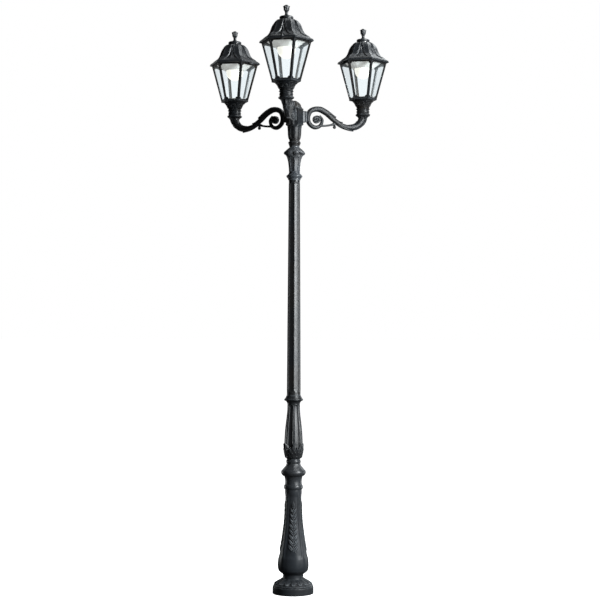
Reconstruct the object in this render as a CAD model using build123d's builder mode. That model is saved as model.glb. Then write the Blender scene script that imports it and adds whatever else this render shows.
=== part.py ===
from build123d import *
import math
import os

# Outdoor post light: a cast post, a hub with three scroll arms, and a six-sided
# lantern upright on each arm. Millimetres, +Z up, origin on the ground at the
# middle of the base. The first arm points along -Y.

os.makedirs("parts", exist_ok=True)

# ---------------------------------------------------------------- dimensions
ARM_REACH = 420.0  # post axis to lantern axis
ARM_TURNS = {"front": 0.0, "right": 120.0, "left": -120.0}

PLATE_R = 98.0
PLATE_T = 12.0
BOLT_PCD = 150.0
BOLT_HOLE_R = 7.0
BOLT_COUNT = 4
CABLE_HOLE_R = 18.0

TUBE_R = 24.15
TUBE_BORE = 20.95
TUBE_TOP = 2600.0

BASE_R = 113.0
BASE_TOP = 96.0
PEDESTAL_TOP = 572.0
COLLAR_TOP = 737.0
BALUSTER_TOP = 1088.0
SHAFT_TOP = 2272.0
SHAFT_R_LOW = 38.0
SHAFT_R_HIGH = 30.4
SHAFT_BORE = 26.0
FLUTES = 8
FLUTE_TURN = -84.0  # an arris of the eight flutes stands at this bearing
CAPITAL_TOP = 2456.0
HUB_FOOT_TOP = 2576.0
HUB_TOP = 2664.0
HUB_R = 48.0  # corner radius of the six flats
HUB_CAVITY_R = 33.0
HUB_FLOOR = 2604.0

WIRE_Z = 2623.0
WIREWAY_R = 4.6
GASKET_T = 1.5
FLANGE_W = 32.0
FLANGE_H = 62.0
FLANGE_OUT = 68.0
ARM_BOLT_R = 3.0
ARM_BOLT_Z = (2610.5, 2638.5)

SPIGOT_R = 30.0  # 60 mm spigot, the common fitting for lanterns
SPIGOT_TOP = 2722.0
SEAT_Z = 2686.0  # shoulder that carries the lantern cup
LANTERN_TURN = -5.2  # how far each lantern is turned on its round spigot

CAGE_BOTTOM = 2738.0
CAGE_TOP = 2945.0
CAGE_R_LOW = 77.0
CAGE_R_HIGH = 134.0
CAGE_WALL = 6.0
PANE_T = 3.0
POST_HALF = 11.0  # half width of a corner post on each face
LOBE_R = 8.5  # round lobe in each corner of a pane opening
WINDOW_LOW = -94.4
WINDOW_HIGH = 96.8

EAVE_Z = 2945.3
EAVE_R = 146.0
HINGE_D = 131.5  # lantern axis to hinge axis
HINGE_Z = 2942.0
KNUCKLE_R = 4.5
PIN_R = 2.0
PIN_CLEAR = 0.05
SCREW_D = 119.0  # lantern axis to thumb screw
BULB_R = 47.5
BULB_Z = 2907.0

ROOF_PROFILE = [  # (corner radius, height) of the six-sided bell
    (146.0, 2957.0),
    (138.0, 2960.0),
    (121.0, 2969.0),
    (104.0, 2979.0),
    (92.0, 2989.0),
    (86.0, 3000.0),
    (81.5, 3012.0),
    (77.5, 3023.0),
    (72.0, 3034.0),
    (64.5, 3044.0),
    (54.0, 3053.0),
    (42.0, 3060.0),
]
ROOF_INSIDE = [
    (126.0, 2952.0),
    (122.0, 2959.5),
    (112.0, 2968.5),
    (96.0, 2978.5),
    (84.5, 2989.0),
    (79.5, 3000.0),
    (71.0, 3023.0),
    (63.0, 3036.0),
    (46.0, 3049.0),
]

LANTERN_AXIS = Axis((0, -ARM_REACH, 0), (0, 0, 1))
LANTERN_XZ = Plane(origin=(0, -ARM_REACH, 0), x_dir=(1, 0, 0), z_dir=(0, -1, 0))
ARM_PLANE = Plane(origin=(0, 0, 0), x_dir=(0, -1, 0), z_dir=(-1, 0, 0))


def lantern_level(z):
    """Level plane through height z, centred on the front lantern."""
    return Plane(origin=(0, -ARM_REACH, z), x_dir=(1, 0, 0), z_dir=(0, 0, 1))


def closed_profile(points, plane=Plane.XZ):
    """Face of a closed outline of (radius, height) points."""
    with BuildSketch(plane) as sketch:
        with BuildLine():
            Polyline(*points, close=True)
        make_face()
    return sketch.sketch


def shell_profile(outer, inner, plane=Plane.XZ):
    """Face between an outer outline and an inner outline, both listed upward."""
    return closed_profile(list(outer) + list(reversed(inner)), plane)


def write_three(piece, name, spin=0.0):
    """Write the front piece, turned by spin on its spigot, and its two copies turned about the post."""
    front = piece.rotate(LANTERN_AXIS, spin)
    for side, turn in ARM_TURNS.items():
        with BuildPart() as copy:
            add(front, rotation=(0, 0, turn))
        copy.part.label = f"{name}_{side}"
        export_step(copy.part, f"parts/{name}_{side}.step")


# ---------------------------------------------------------------- the post
# Steel plate bolted to the foundation, hidden under the base cover.
with BuildPart() as anchor_plate:
    with BuildSketch():
        Circle(PLATE_R)
        Circle(CABLE_HOLE_R, mode=Mode.SUBTRACT)
        with PolarLocations(BOLT_PCD / 2, BOLT_COUNT, start_angle=45):
            Circle(BOLT_HOLE_R, mode=Mode.SUBTRACT)
    extrude(amount=PLATE_T)
anchor_plate.part.label = "anchor_plate"
export_step(anchor_plate.part, "parts/anchor_plate.step")

# Steel tube that stands on the plate and carries the castings and the hub.
with BuildPart() as core_tube:
    with BuildSketch(Plane.XY.offset(PLATE_T)):
        Circle(TUBE_R)
        Circle(TUBE_BORE, mode=Mode.SUBTRACT)
    extrude(amount=TUBE_TOP - PLATE_T)
core_tube.part.label = "core_tube"
export_step(core_tube.part, "parts/core_tube.step")

# Rim and cone that cover the plate.
with BuildPart() as base_cover:
    revolve(
        shell_profile(
            [
                (BASE_R, 0),
                (BASE_R, 39),
                (110.5, 45),
                (105, 54.5),
                (85, 71),
                (58.5, 87.5),
                (55.3, 91),
                (55.3, BASE_TOP),
            ],
            [
                (102, 0),
                (102, 35),
                (97, 46),
                (79, 62),
                (52, 79),
                (47, 84),
                (47, BASE_TOP),
            ],
        ),
        axis=Axis.Z,
    )
base_cover.part.label = "base_cover"
export_step(base_cover.part, "parts/base_cover.step")

# Bulb-shaped pedestal.
with BuildPart() as pedestal:
    revolve(
        shell_profile(
            [
                (55.3, BASE_TOP),
                (55.5, 103),
                (67.5, 113.5),
                (79.5, 125),
                (85.2, 142),
                (86.2, 159),
                (84.8, 179),
                (75.5, 236),
                (65.5, 291),
                (57.5, 346),
                (50.5, 401),
                (47.5, 456),
                (46.5, 511),
                (45.5, PEDESTAL_TOP),
            ],
            [
                (46, BASE_TOP),
                (46.5, 108),
                (69, 127.5),
                (77, 148),
                (77, 170),
                (67.5, 236),
                (57.5, 291),
                (49.5, 346),
                (42, 401),
                (38.5, 456),
                (36, 540),
                (32, PEDESTAL_TOP),
            ],
        ),
        axis=Axis.Z,
    )
pedestal.part.label = "pedestal"
export_step(pedestal.part, "parts/pedestal.step")

# Ring, thick torus and neck above the pedestal.
with BuildPart() as pedestal_collar:
    revolve(
        shell_profile(
            [
                (45.5, PEDESTAL_TOP),
                (50, 577),
                (51.6, 583),
                (51.6, 590),
                (49, 597),
                (46, 606),
                (45.4, 617),
                (47, 630),
                (49.4, 643),
                (58.5, 648.5),
                (64, 654),
                (67.4, 660),
                (68, 666),
                (66.4, 675),
                (61, 682),
                (53.5, 690),
                (45, 699),
                (39, 708),
                (37.4, 714.5),
                (39.6, 721),
                (39.6, 729),
                (35.8, COLLAR_TOP),
            ],
            [(32, PEDESTAL_TOP), (32, 640), (36, 652), (36, 680), (28, 700), (28, COLLAR_TOP)],
        ),
        axis=Axis.Z,
    )
pedestal_collar.part.label = "pedestal_collar"
export_step(pedestal_collar.part, "parts/pedestal_collar.step")

# Leaf cup, long arched flutes and the ring that carries the shaft.
with BuildPart() as baluster:
    revolve(
        shell_profile(
            [
                (35.8, COLLAR_TOP),
                (41.5, 748),
                (47, 764),
                (52.6, 781),
                (53.6, 797),
                (54.5, 817),
                (51.5, 826),
                (50, 836),
                (48, 868),
                (46.2, 896),
                (43.5, 923),
                (40, 951),
                (37, 978),
                (34.1, 1006),
                (33.4, 1030),
                (34.5, 1042),
                (38, 1050),
                (46, 1057),
                (51.8, 1063),
                (52, 1071),
                (46, 1078),
                (41.5, 1083),
                (39.5, BALUSTER_TOP),
            ],
            [
                (28, COLLAR_TOP),
                (40, 770),
                (45, 800),
                (42, 850),
                (36, 930),
                (27, 1000),
                (27, BALUSTER_TOP),
            ],
        ),
        axis=Axis.Z,
    )
baluster.part.label = "baluster"
export_step(baluster.part, "parts/baluster.step")


# Tapered shaft with eight wide hollow flutes.
def fluted_outline(plane, radius, depth):
    """Outline of eight shallow hollow flutes meeting in sharp arrises."""
    corners = [
        (
            radius * math.cos(math.radians(FLUTE_TURN + 360 / FLUTES * i)),
            radius * math.sin(math.radians(FLUTE_TURN + 360 / FLUTES * i)),
        )
        for i in range(FLUTES)
    ]
    middle = radius * math.cos(math.pi / FLUTES) - depth
    hollows = [
        (
            middle * math.cos(math.radians(FLUTE_TURN + 360 / FLUTES * (i + 0.5))),
            middle * math.sin(math.radians(FLUTE_TURN + 360 / FLUTES * (i + 0.5))),
        )
        for i in range(FLUTES)
    ]
    with BuildSketch(plane) as outline:
        with BuildLine():
            for i in range(FLUTES):
                ThreePointArc(corners[i], hollows[i], corners[(i + 1) % FLUTES])
        make_face()
    return outline.sketch


with BuildPart() as shaft:
    loft(
        [
            fluted_outline(Plane.XY.offset(BALUSTER_TOP), SHAFT_R_LOW, 1.0),
            fluted_outline(Plane.XY.offset(SHAFT_TOP), SHAFT_R_HIGH, 0.5),
        ]
    )
    with BuildSketch(Plane.XY.offset(BALUSTER_TOP)):
        Circle(SHAFT_BORE)
    extrude(amount=SHAFT_TOP - BALUSTER_TOP, mode=Mode.SUBTRACT)
shaft.part.label = "shaft"
export_step(shaft.part, "parts/shaft.step")

# Ring, fluted bell and leaf edge under the hub.
with BuildPart() as capital:
    revolve(
        shell_profile(
            [
                (34.5, SHAFT_TOP),
                (34.8, 2280),
                (40, 2286),
                (44, 2291),
                (44, 2295),
                (37, 2302),
                (30.6, 2310),
                (30, 2318),
                (31.5, 2348),
                (36.5, 2381),
                (40.5, 2393),
                (44, 2403),
                (49, 2409),
                (56, 2414),
                (58.2, 2419),
                (57, 2424),
                (50, 2431),
                (41, 2440),
                (31, 2448),
                (27.5, 2452),
                (27.5, CAPITAL_TOP),
            ],
            [(TUBE_R + 0.25, SHAFT_TOP), (TUBE_R + 0.25, CAPITAL_TOP)],
        ),
        axis=Axis.Z,
    )
capital.part.label = "capital"
export_step(capital.part, "parts/capital.step")

# Rings that centre the hollow castings on the core tube.
with BuildPart() as centring_rings:
    for z, radius in ((1010.0, 27.0), (1130.0, SHAFT_BORE), (1680.0, SHAFT_BORE), (2235.0, SHAFT_BORE)):
        with BuildSketch(Plane.XY.offset(z)):
            Circle(radius)
            Circle(TUBE_R, mode=Mode.SUBTRACT)
        extrude(amount=25)
centring_rings.part.label = "centring_rings"
export_step(centring_rings.part, "parts/centring_rings.step")

# Hub: fluted foot, six-sided body, a socket for the tube and a wiring space.
with BuildPart() as arm_hub:
    revolve(
        closed_profile(
            [
                (0, CAPITAL_TOP),
                (27.5, CAPITAL_TOP),
                (31.4, 2463),
                (33.6, 2470),
                (33.6, 2478),
                (30, 2484),
                (28, 2488),
                (31, 2496),
                (34.6, 2508),
                (35.8, 2520),
                (37, 2546),
                (41, HUB_FOOT_TOP),
                (0, HUB_FOOT_TOP),
            ]
        ),
        axis=Axis.Z,
    )
    with BuildSketch(Plane.XY.offset(HUB_FOOT_TOP)):
        RegularPolygon(HUB_R, 6)
    extrude(amount=HUB_TOP - HUB_FOOT_TOP)
    with BuildSketch(Plane.XY.offset(CAPITAL_TOP)):
        Circle(TUBE_R + 0.15)
    extrude(amount=TUBE_TOP - CAPITAL_TOP, mode=Mode.SUBTRACT)
    with BuildSketch(Plane.XY.offset(TUBE_TOP)):
        Circle(TUBE_BORE - 0.95)
    extrude(amount=HUB_FLOOR - TUBE_TOP, mode=Mode.SUBTRACT)
    with BuildSketch(Plane.XY.offset(HUB_FLOOR)):
        Circle(HUB_CAVITY_R)
    extrude(amount=HUB_TOP - HUB_FLOOR, mode=Mode.SUBTRACT)
    for turn in ARM_TURNS.values():
        way = Plane(
            origin=(0, 0, 0),
            x_dir=(math.cos(math.radians(turn)), math.sin(math.radians(turn)), 0),
            z_dir=(math.sin(math.radians(turn)), -math.cos(math.radians(turn)), 0),
        ).offset(HUB_CAVITY_R - 3)
        with BuildSketch(way):
            with Locations((0, WIRE_Z)):
                Circle(WIREWAY_R)
            with Locations((0, ARM_BOLT_Z[0]), (0, ARM_BOLT_Z[1])):
                Circle(ARM_BOLT_R)
        extrude(amount=30, mode=Mode.SUBTRACT)
        back = Plane(
            origin=(0, 0, 0),
            x_dir=(-math.cos(math.radians(turn)), -math.sin(math.radians(turn)), 0),
            z_dir=(-math.sin(math.radians(turn)), math.cos(math.radians(turn)), 0),
        ).offset(TUBE_R - 1)
        with BuildSketch(back):
            with Locations((0, 2532)):
                Circle(3.0)
        extrude(amount=25, mode=Mode.SUBTRACT)
arm_hub.part.label = "arm_hub"
export_step(arm_hub.part, "parts/arm_hub.step")

# Grub screws that lock the hub on the tube, one between each pair of arms.
with BuildPart() as hub_grub_screws:
    for turn in ARM_TURNS.values():
        back = Plane(
            origin=(0, 0, 0),
            x_dir=(-math.cos(math.radians(turn)), -math.sin(math.radians(turn)), 0),
            z_dir=(-math.sin(math.radians(turn)), math.cos(math.radians(turn)), 0),
        )
        with BuildSketch(back.offset(TUBE_R)):
            with Locations((0, 2532)):
                Circle(3.0)
        extrude(amount=11)
        with BuildSketch(back.offset(TUBE_R + 8)):
            with Locations((0, 2532)):
                RegularPolygon(1.7, 6)
        extrude(amount=4, mode=Mode.SUBTRACT)
hub_grub_screws.part.label = "hub_grub_screws"
export_step(hub_grub_screws.part, "parts/hub_grub_screws.step")

# Domed cover of the wiring space, with a lip that drops into the hub.
with BuildPart() as hub_dome:
    revolve(
        closed_profile(
            [
                (0, 2707),
                (8, 2706.4),
                (18, 2702),
                (26, 2695),
                (32, 2686),
                (34.5, 2678),
                (35, 2673),
                (40.5, 2670),
                (40.5, HUB_TOP),
                (32.6, HUB_TOP),
                (32.6, 2658),
                (29.6, 2658),
                (29.6, 2674),
                (26, 2685),
                (20, 2693),
                (12, 2698),
                (0, 2701),
            ]
        ),
        axis=Axis.Z,
    )
hub_dome.part.label = "hub_dome"
export_step(hub_dome.part, "parts/hub_dome.step")

# Terminal block on the floor of the wiring space.
with BuildPart() as terminal_block:
    with BuildSketch(Plane.XY.offset(HUB_FLOOR)):
        with Locations((0, 20)):
            Rectangle(26, 12)
    extrude(amount=15)
    with BuildSketch(Plane.XY.offset(HUB_FLOOR + 9)):
        with Locations((-8, 20), (0, 20), (8, 20)):
            Circle(2.2)
    extrude(amount=6, mode=Mode.SUBTRACT)
terminal_block.part.label = "terminal_block"
export_step(terminal_block.part, "parts/terminal_block.step")

# ---------------------------------------------------------------- the arms
# Bolts put in from inside the hub, two for each arm.
with BuildPart() as arm_bolts:
    for turn in ARM_TURNS.values():
        way = Plane(
            origin=(0, 0, 0),
            x_dir=(math.cos(math.radians(turn)), math.sin(math.radians(turn)), 0),
            z_dir=(math.sin(math.radians(turn)), -math.cos(math.radians(turn)), 0),
        )
        with BuildSketch(way.offset(HUB_CAVITY_R - 1)):
            with Locations((0, ARM_BOLT_Z[0]), (0, ARM_BOLT_Z[1])):
                Circle(ARM_BOLT_R)
        extrude(amount=24)
        with BuildSketch(way.offset(HUB_CAVITY_R - 6.5)):
            with Locations((0, ARM_BOLT_Z[0]), (0, ARM_BOLT_Z[1])):
                Circle(5.0)
        extrude(amount=6)
arm_bolts.part.label = "arm_bolts"
export_step(arm_bolts.part, "parts/arm_bolts.step")

HUB_FLAT = HUB_R * math.cos(math.pi / 6)  # hub axis to each flat

# Rubber gaskets between the arm flanges and the flats of the hub.
with BuildPart() as arm_gaskets:
    for turn in ARM_TURNS.values():
        way = Plane(
            origin=(0, 0, 0),
            x_dir=(math.cos(math.radians(turn)), math.sin(math.radians(turn)), 0),
            z_dir=(math.sin(math.radians(turn)), -math.cos(math.radians(turn)), 0),
        )
        with BuildSketch(way.offset(HUB_FLAT)):
            with Locations((0, WIRE_Z)):
                Rectangle(FLANGE_W, FLANGE_H)
                Circle(WIREWAY_R, mode=Mode.SUBTRACT)
            with Locations((0, ARM_BOLT_Z[0]), (0, ARM_BOLT_Z[1])):
                Circle(ARM_BOLT_R, mode=Mode.SUBTRACT)
        extrude(amount=GASKET_T)
arm_gaskets.part.label = "arm_gaskets"
export_step(arm_gaskets.part, "parts/arm_gaskets.step")

# Centre line of an arm in (reach, height): volute, round the scroll, over the
# top, down the long S and up under the lantern.
ARM_LINE = [
    (150, 2634),
    (167, 2612),
    (155, 2580),
    (122, 2568.5),
    (89, 2588),
    (80, 2621),
    (96, 2657),
    (140, 2671),
    (190, 2654),
    (241, 2615),
    (290, 2588),
    (340, 2581),
    (382, 2592),
    (410, 2622),
    (420, 2658),
]
ARM_STATIONS = [  # (share of the line, tube radius)
    (0.0, 6.5),
    (0.12, 8.5),
    (0.22, 10.8),
    (0.32, 13.8),
    (0.40, 15.4),
    (0.48, 16.6),
    (0.55, 15.8),
    (0.62, 14.0),
    (0.68, 13.4),
    (0.78, 14.8),
    (0.88, 18.5),
    (0.95, 22.0),
    (1.0, 24.0),
]
ARM_STEPS = 30


def tube_radius(share):
    """Radius of the arm at a share of its length, between the listed stations."""
    for (s0, r0), (s1, r1) in zip(ARM_STATIONS, ARM_STATIONS[1:]):
        if share <= s1:
            return r0 + (r1 - r0) * (share - s0) / (s1 - s0)
    return ARM_STATIONS[-1][1]


WIRE_LINE = [
    (80, 2623),
    (96, 2657),
    (140, 2671),
    (190, 2654),
    (241, 2615),
    (290, 2588),
    (340, 2581),
    (382, 2592),
    (410, 2622),
    (420, 2658),
]

with BuildPart() as wireway:
    with BuildLine(ARM_PLANE) as wire_run:
        Spline(*WIRE_LINE)
    with BuildSketch(Plane(origin=wire_run.line @ 0, z_dir=wire_run.line % 0)):
        Circle(WIREWAY_R)
    sweep(path=wire_run.line)

with BuildPart() as arm:
    with BuildLine(ARM_PLANE) as arm_run:
        Spline(*ARM_LINE)
    for step in range(ARM_STEPS + 1):
        share = step / ARM_STEPS
        with BuildSketch(Plane(origin=arm_run.line @ share, x_dir=(1, 0, 0), z_dir=arm_run.line % share)):
            Circle(tube_radius(share))
    loft()
    # flange against the hub
    with BuildSketch(Plane.XZ.offset(HUB_FLAT + GASKET_T)):
        with Locations((0, WIRE_Z)):
            RectangleRounded(FLANGE_W, FLANGE_H, 3)
    extrude(amount=FLANGE_OUT + 4 - HUB_FLAT - GASKET_T)
    # volute eye
    with BuildSketch(Plane.YZ.offset(-11)):
        with Locations((-133, 2613)):
            Circle(21.5)
    extrude(amount=22)
    # strut from the scroll to the long S, and the drop below it
    with BuildSketch(Plane.XZ.offset(150)):
        with Locations((0, 2583)):
            Circle(5.5)
    extrude(amount=90, taper=0)
    with BuildSketch(Plane.XY.offset(2568)):
        with Locations((0, -243)):
            Circle(8.5)
    extrude(amount=40)
    # collar, seat and spigot under the lantern
    revolve(
        closed_profile(
            [
                (0, 2648),
                (25, 2648),
                (28, 2655),
                (37, 2659),
                (39, 2663),
                (39, 2669),
                (36, 2674),
                (35, 2679),
                (36.5, 2682),
                (36.5, SEAT_Z),
                (SPIGOT_R, SEAT_Z),
                (SPIGOT_R, SPIGOT_TOP - 2),
                (SPIGOT_R - 2, SPIGOT_TOP),
                (0, SPIGOT_TOP),
            ],
            LANTERN_XZ,
        ),
        axis=LANTERN_AXIS,
    )
    # blind holes for the bolts, then the hollow for the lead
    with BuildSketch(Plane.XZ.offset(HUB_FLAT)):
        with Locations((0, ARM_BOLT_Z[0]), (0, ARM_BOLT_Z[1])):
            Circle(ARM_BOLT_R)
    extrude(amount=16, mode=Mode.SUBTRACT)
    with BuildSketch(Plane.XZ.offset(HUB_FLAT)):
        with Locations((0, WIRE_Z)):
            Circle(WIREWAY_R + 0.6)
    extrude(amount=82 - HUB_FLAT, mode=Mode.SUBTRACT)
    with BuildSketch(lantern_level(2650)):
        Circle(11)
    extrude(amount=SPIGOT_TOP - 2650 + 5, mode=Mode.SUBTRACT)
    add(wireway.part, mode=Mode.SUBTRACT)
write_three(arm.part, "arm")

# ---------------------------------------------------------------- the lanterns
# Cup with a socket that slides over the spigot.
with BuildPart() as lantern_cup:
    revolve(
        closed_profile(
            [
                (SPIGOT_R + 0.1, SEAT_Z),
                (36.5, SEAT_Z),
                (37.5, 2689),
                (36, 2692),
                (36.6, 2699),
                (38.6, 2702.5),
                (41.4, 2709),
                (44.6, 2716.5),
                (48.6, 2723.5),
                (54, 2729),
                (60, 2733),
                (62, 2734.5),
                (62, CAGE_BOTTOM),
                (10, CAGE_BOTTOM),
                (10, SPIGOT_TOP + 6),
                (SPIGOT_R + 0.1, SPIGOT_TOP + 6),
            ],
            LANTERN_XZ,
        ),
        axis=LANTERN_AXIS,
    )
    for bearing in (-90, 30, 150):
        with BuildSketch(
            Plane(
                origin=(0, -ARM_REACH, 2696),
                x_dir=(-math.sin(math.radians(bearing)), math.cos(math.radians(bearing)), 0),
                z_dir=(math.cos(math.radians(bearing)), math.sin(math.radians(bearing)), 0),
            ).offset(20)
        ):
            Circle(2.5)
        extrude(amount=30, mode=Mode.SUBTRACT)
write_three(lantern_cup.part, "lantern_cup", LANTERN_TURN)

# Set screws that hold the three cups on their spigots.
with BuildPart() as lantern_set_screws:
    for turn in ARM_TURNS.values():
        cx = ARM_REACH * math.sin(math.radians(turn))
        cy = -ARM_REACH * math.cos(math.radians(turn))
        for bearing in (-90, 30, 150):
            b = math.radians(bearing + turn + LANTERN_TURN)
            around = Plane(
                origin=(cx, cy, 2696),
                x_dir=(-math.sin(b), math.cos(b), 0),
                z_dir=(math.cos(b), math.sin(b), 0),
            )
            with BuildSketch(around.offset(SPIGOT_R)):
                Circle(2.5)
            extrude(amount=5.6)
            with BuildSketch(around.offset(SPIGOT_R + 3)):
                RegularPolygon(1.4, 6)
            extrude(amount=3, mode=Mode.SUBTRACT)
lantern_set_screws.part.label = "lantern_set_screws"
export_step(lantern_set_screws.part, "parts/lantern_set_screws.step")

# Planes of the sloping faces of the cage.
FACE_LOW = CAGE_R_LOW * math.cos(math.pi / 6)
FACE_HIGH = CAGE_R_HIGH * math.cos(math.pi / 6)
FACE_LENGTH = math.hypot(FACE_HIGH - FACE_LOW, CAGE_TOP - CAGE_BOTTOM)
LEAN_OUT = (FACE_HIGH - FACE_LOW) / FACE_LENGTH
LEAN_UP = (CAGE_TOP - CAGE_BOTTOM) / FACE_LENGTH
FACE_PLANE = Plane(
    origin=(0, -(FACE_LOW + FACE_HIGH) / 2, (CAGE_BOTTOM + CAGE_TOP) / 2),
    x_dir=(1, 0, 0),
    z_dir=(0, -LEAN_UP, -LEAN_OUT),
)
HALF_MID = (CAGE_R_LOW + CAGE_R_HIGH) / 4
HALF_GROWTH = (CAGE_R_HIGH - CAGE_R_LOW) / 2 / FACE_LENGTH


def face_half(v):
    """Half width of a cage face at distance v up the slope from its middle."""
    return HALF_MID + HALF_GROWTH * v


# One pane opening with a round lobe left standing in each corner, centred on the axis.
with BuildPart() as opening:
    with BuildSketch(FACE_PLANE.offset(-14)):
        low, high = face_half(WINDOW_LOW) - POST_HALF, face_half(WINDOW_HIGH) - POST_HALF
        with BuildLine():
            Polyline(
                (-low, WINDOW_LOW), (low, WINDOW_LOW), (high, WINDOW_HIGH), (-high, WINDOW_HIGH), close=True
            )
        make_face()
        with Locations((-low, WINDOW_LOW), (low, WINDOW_LOW), (high, WINDOW_HIGH), (-high, WINDOW_HIGH)):
            Circle(LOBE_R, mode=Mode.SUBTRACT)
    extrude(amount=24)

PANE_GROW = 2.2
with BuildPart() as pane:
    with BuildSketch(FACE_PLANE.offset(-CAGE_WALL - PANE_T)):
        v0, v1 = WINDOW_LOW - 5, WINDOW_HIGH + 5
        low, high = face_half(v0) - POST_HALF + PANE_GROW, face_half(v1) - POST_HALF + PANE_GROW
        with BuildLine():
            Polyline((-low, v0), (low, v0), (high, v1), (-high, v1), close=True)
        make_face()
    extrude(amount=PANE_T)

WALL_R = CAGE_WALL / LEAN_UP / math.cos(math.pi / 6)  # corner radius lost to the wall
GROWTH = (CAGE_R_HIGH - CAGE_R_LOW) / (CAGE_TOP - CAGE_BOTTOM)

# Six-sided tapered cage with its hinge lugs and the lug for the thumb screw.
with BuildPart() as lantern_cage:
    with BuildSketch(lantern_level(CAGE_BOTTOM)):
        RegularPolygon(CAGE_R_LOW, 6)
    with BuildSketch(lantern_level(CAGE_TOP)):
        RegularPolygon(CAGE_R_HIGH, 6)
    loft(ruled=True)
    with BuildSketch(lantern_level(CAGE_BOTTOM + 6)):
        RegularPolygon(CAGE_R_LOW - WALL_R + 6 * GROWTH, 6)
    with BuildSketch(lantern_level(CAGE_TOP + 10)):
        RegularPolygon(CAGE_R_HIGH - WALL_R + 10 * GROWTH, 6)
    loft(ruled=True, mode=Mode.SUBTRACT)
    with BuildSketch(lantern_level(CAGE_BOTTOM)):
        Circle(14)
    extrude(amount=10, mode=Mode.SUBTRACT)
    # lug under the thumb screw
    with BuildSketch(lantern_level(2936)):
        with Locations((0, -118.5)):
            RectangleRounded(14, 15, 2)
    extrude(amount=8.4)
    with BuildSketch(lantern_level(2925)):
        with Locations((0, -SCREW_D)):
            Circle(3.3)
    extrude(amount=30, mode=Mode.SUBTRACT)
    # hinge lugs on the post side
    for x0 in (-18.0, 7.4):
        with BuildSketch(Plane.YZ.offset(x0)):
            with Locations((-ARM_REACH + HINGE_D, HINGE_Z)):
                Circle(KNUCKLE_R)
            with Locations((-ARM_REACH + (112.5 + HINGE_D) / 2, HINGE_Z - 1.25)):
                Rectangle(HINGE_D - 112.5, 6.5)
        extrude(amount=10.6)
    with BuildSketch(Plane.YZ.offset(-20)):
        with Locations((-ARM_REACH + HINGE_D, HINGE_Z)):
            Circle(PIN_R)
    extrude(amount=40, mode=Mode.SUBTRACT)
    for i in range(6):
        turned = (
            Location((0, -ARM_REACH, 0)) * Location((0, 0, 0), (0, 0, 60 * i))
        )
        add(opening.part.moved(turned), mode=Mode.SUBTRACT)
write_three(lantern_cage.part, "lantern_cage", LANTERN_TURN)

# The six clear panes of a lantern, held against the inside of the cage.
with BuildPart() as window_panes:
    for i in range(6):
        turned = (
            Location((0, -ARM_REACH, 0)) * Location((0, 0, 0), (0, 0, 60 * i))
        )
        add(pane.part.moved(turned))
write_three(window_panes.part, "window_panes", LANTERN_TURN)

# Hinge pins, one for each lantern.
with BuildPart() as front_pin:
    with BuildSketch(Plane.YZ.offset(-19)):
        with Locations((-ARM_REACH + HINGE_D, HINGE_Z)):
            Circle(PIN_R)
    extrude(amount=38)
with BuildPart() as hinge_pins:
    for turn in ARM_TURNS.values():
        add(front_pin.part.rotate(LANTERN_AXIS, LANTERN_TURN), rotation=(0, 0, turn))
hinge_pins.part.label = "hinge_pins"
export_step(hinge_pins.part, "parts/hinge_pins.step")

# Bell-shaped roof, hollow, with the middle hinge knuckle and the screw boss.
with BuildPart() as lantern_roof:
    with BuildSketch(lantern_level(EAVE_Z)):
        RegularPolygon(EAVE_R, 6)
    for radius, z in ROOF_PROFILE:
        with BuildSketch(lantern_level(z)):
            RegularPolygon(radius, 6)
    loft(ruled=True)
    with BuildSketch(lantern_level(3059)):
        Circle(27)
    extrude(amount=11)
    with BuildSketch(lantern_level(2950)):
        with Locations((0, -SCREW_D)):
            Circle(7.3)
    extrude(amount=11.7)
    # knuckle and its web against the eave
    with BuildSketch(Plane.YZ.offset(-7)):
        with Locations((-ARM_REACH + HINGE_D, HINGE_Z)):
            Circle(KNUCKLE_R)
        with Locations((-ARM_REACH + HINGE_D - 3.2, HINGE_Z + 6.5)):
            Rectangle(7.5, 9)
    extrude(amount=14)
    # hollow
    for radius, z in ROOF_INSIDE:
        with BuildSketch(lantern_level(z)):
            RegularPolygon(radius, 6)
    loft(ruled=True, mode=Mode.SUBTRACT)
    with BuildSketch(lantern_level(EAVE_Z)):
        RegularPolygon(118, 6)
    extrude(amount=2952.5 - EAVE_Z, mode=Mode.SUBTRACT)
    with BuildSketch(lantern_level(3040)):
        Circle(5.2)
    extrude(amount=40, mode=Mode.SUBTRACT)
    with BuildSketch(lantern_level(EAVE_Z - 1)):
        with Locations((0, -SCREW_D)):
            Circle(2.75)
    extrude(amount=20, mode=Mode.SUBTRACT)
    with BuildSketch(lantern_level(2961.6)):
        with Locations((0, -SCREW_D)):
            Circle(7.8)
    extrude(amount=12, mode=Mode.SUBTRACT)
    with BuildSketch(Plane.YZ.offset(-8)):
        with Locations((-ARM_REACH + HINGE_D, HINGE_Z)):
            Circle(PIN_R + PIN_CLEAR)
    extrude(amount=16, mode=Mode.SUBTRACT)
    for bearing in (-60, 60, 180):
        b = math.radians(bearing)
        with BuildSketch(
            Plane(
                origin=(0, -ARM_REACH, 3063.5),
                x_dir=(-math.sin(b), math.cos(b), 0),
                z_dir=(math.cos(b), math.sin(b), 0),
            ).offset(18)
        ):
            Circle(2.0)
        extrude(amount=14, mode=Mode.SUBTRACT)
write_three(lantern_roof.part, "lantern_roof", LANTERN_TURN)

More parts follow.
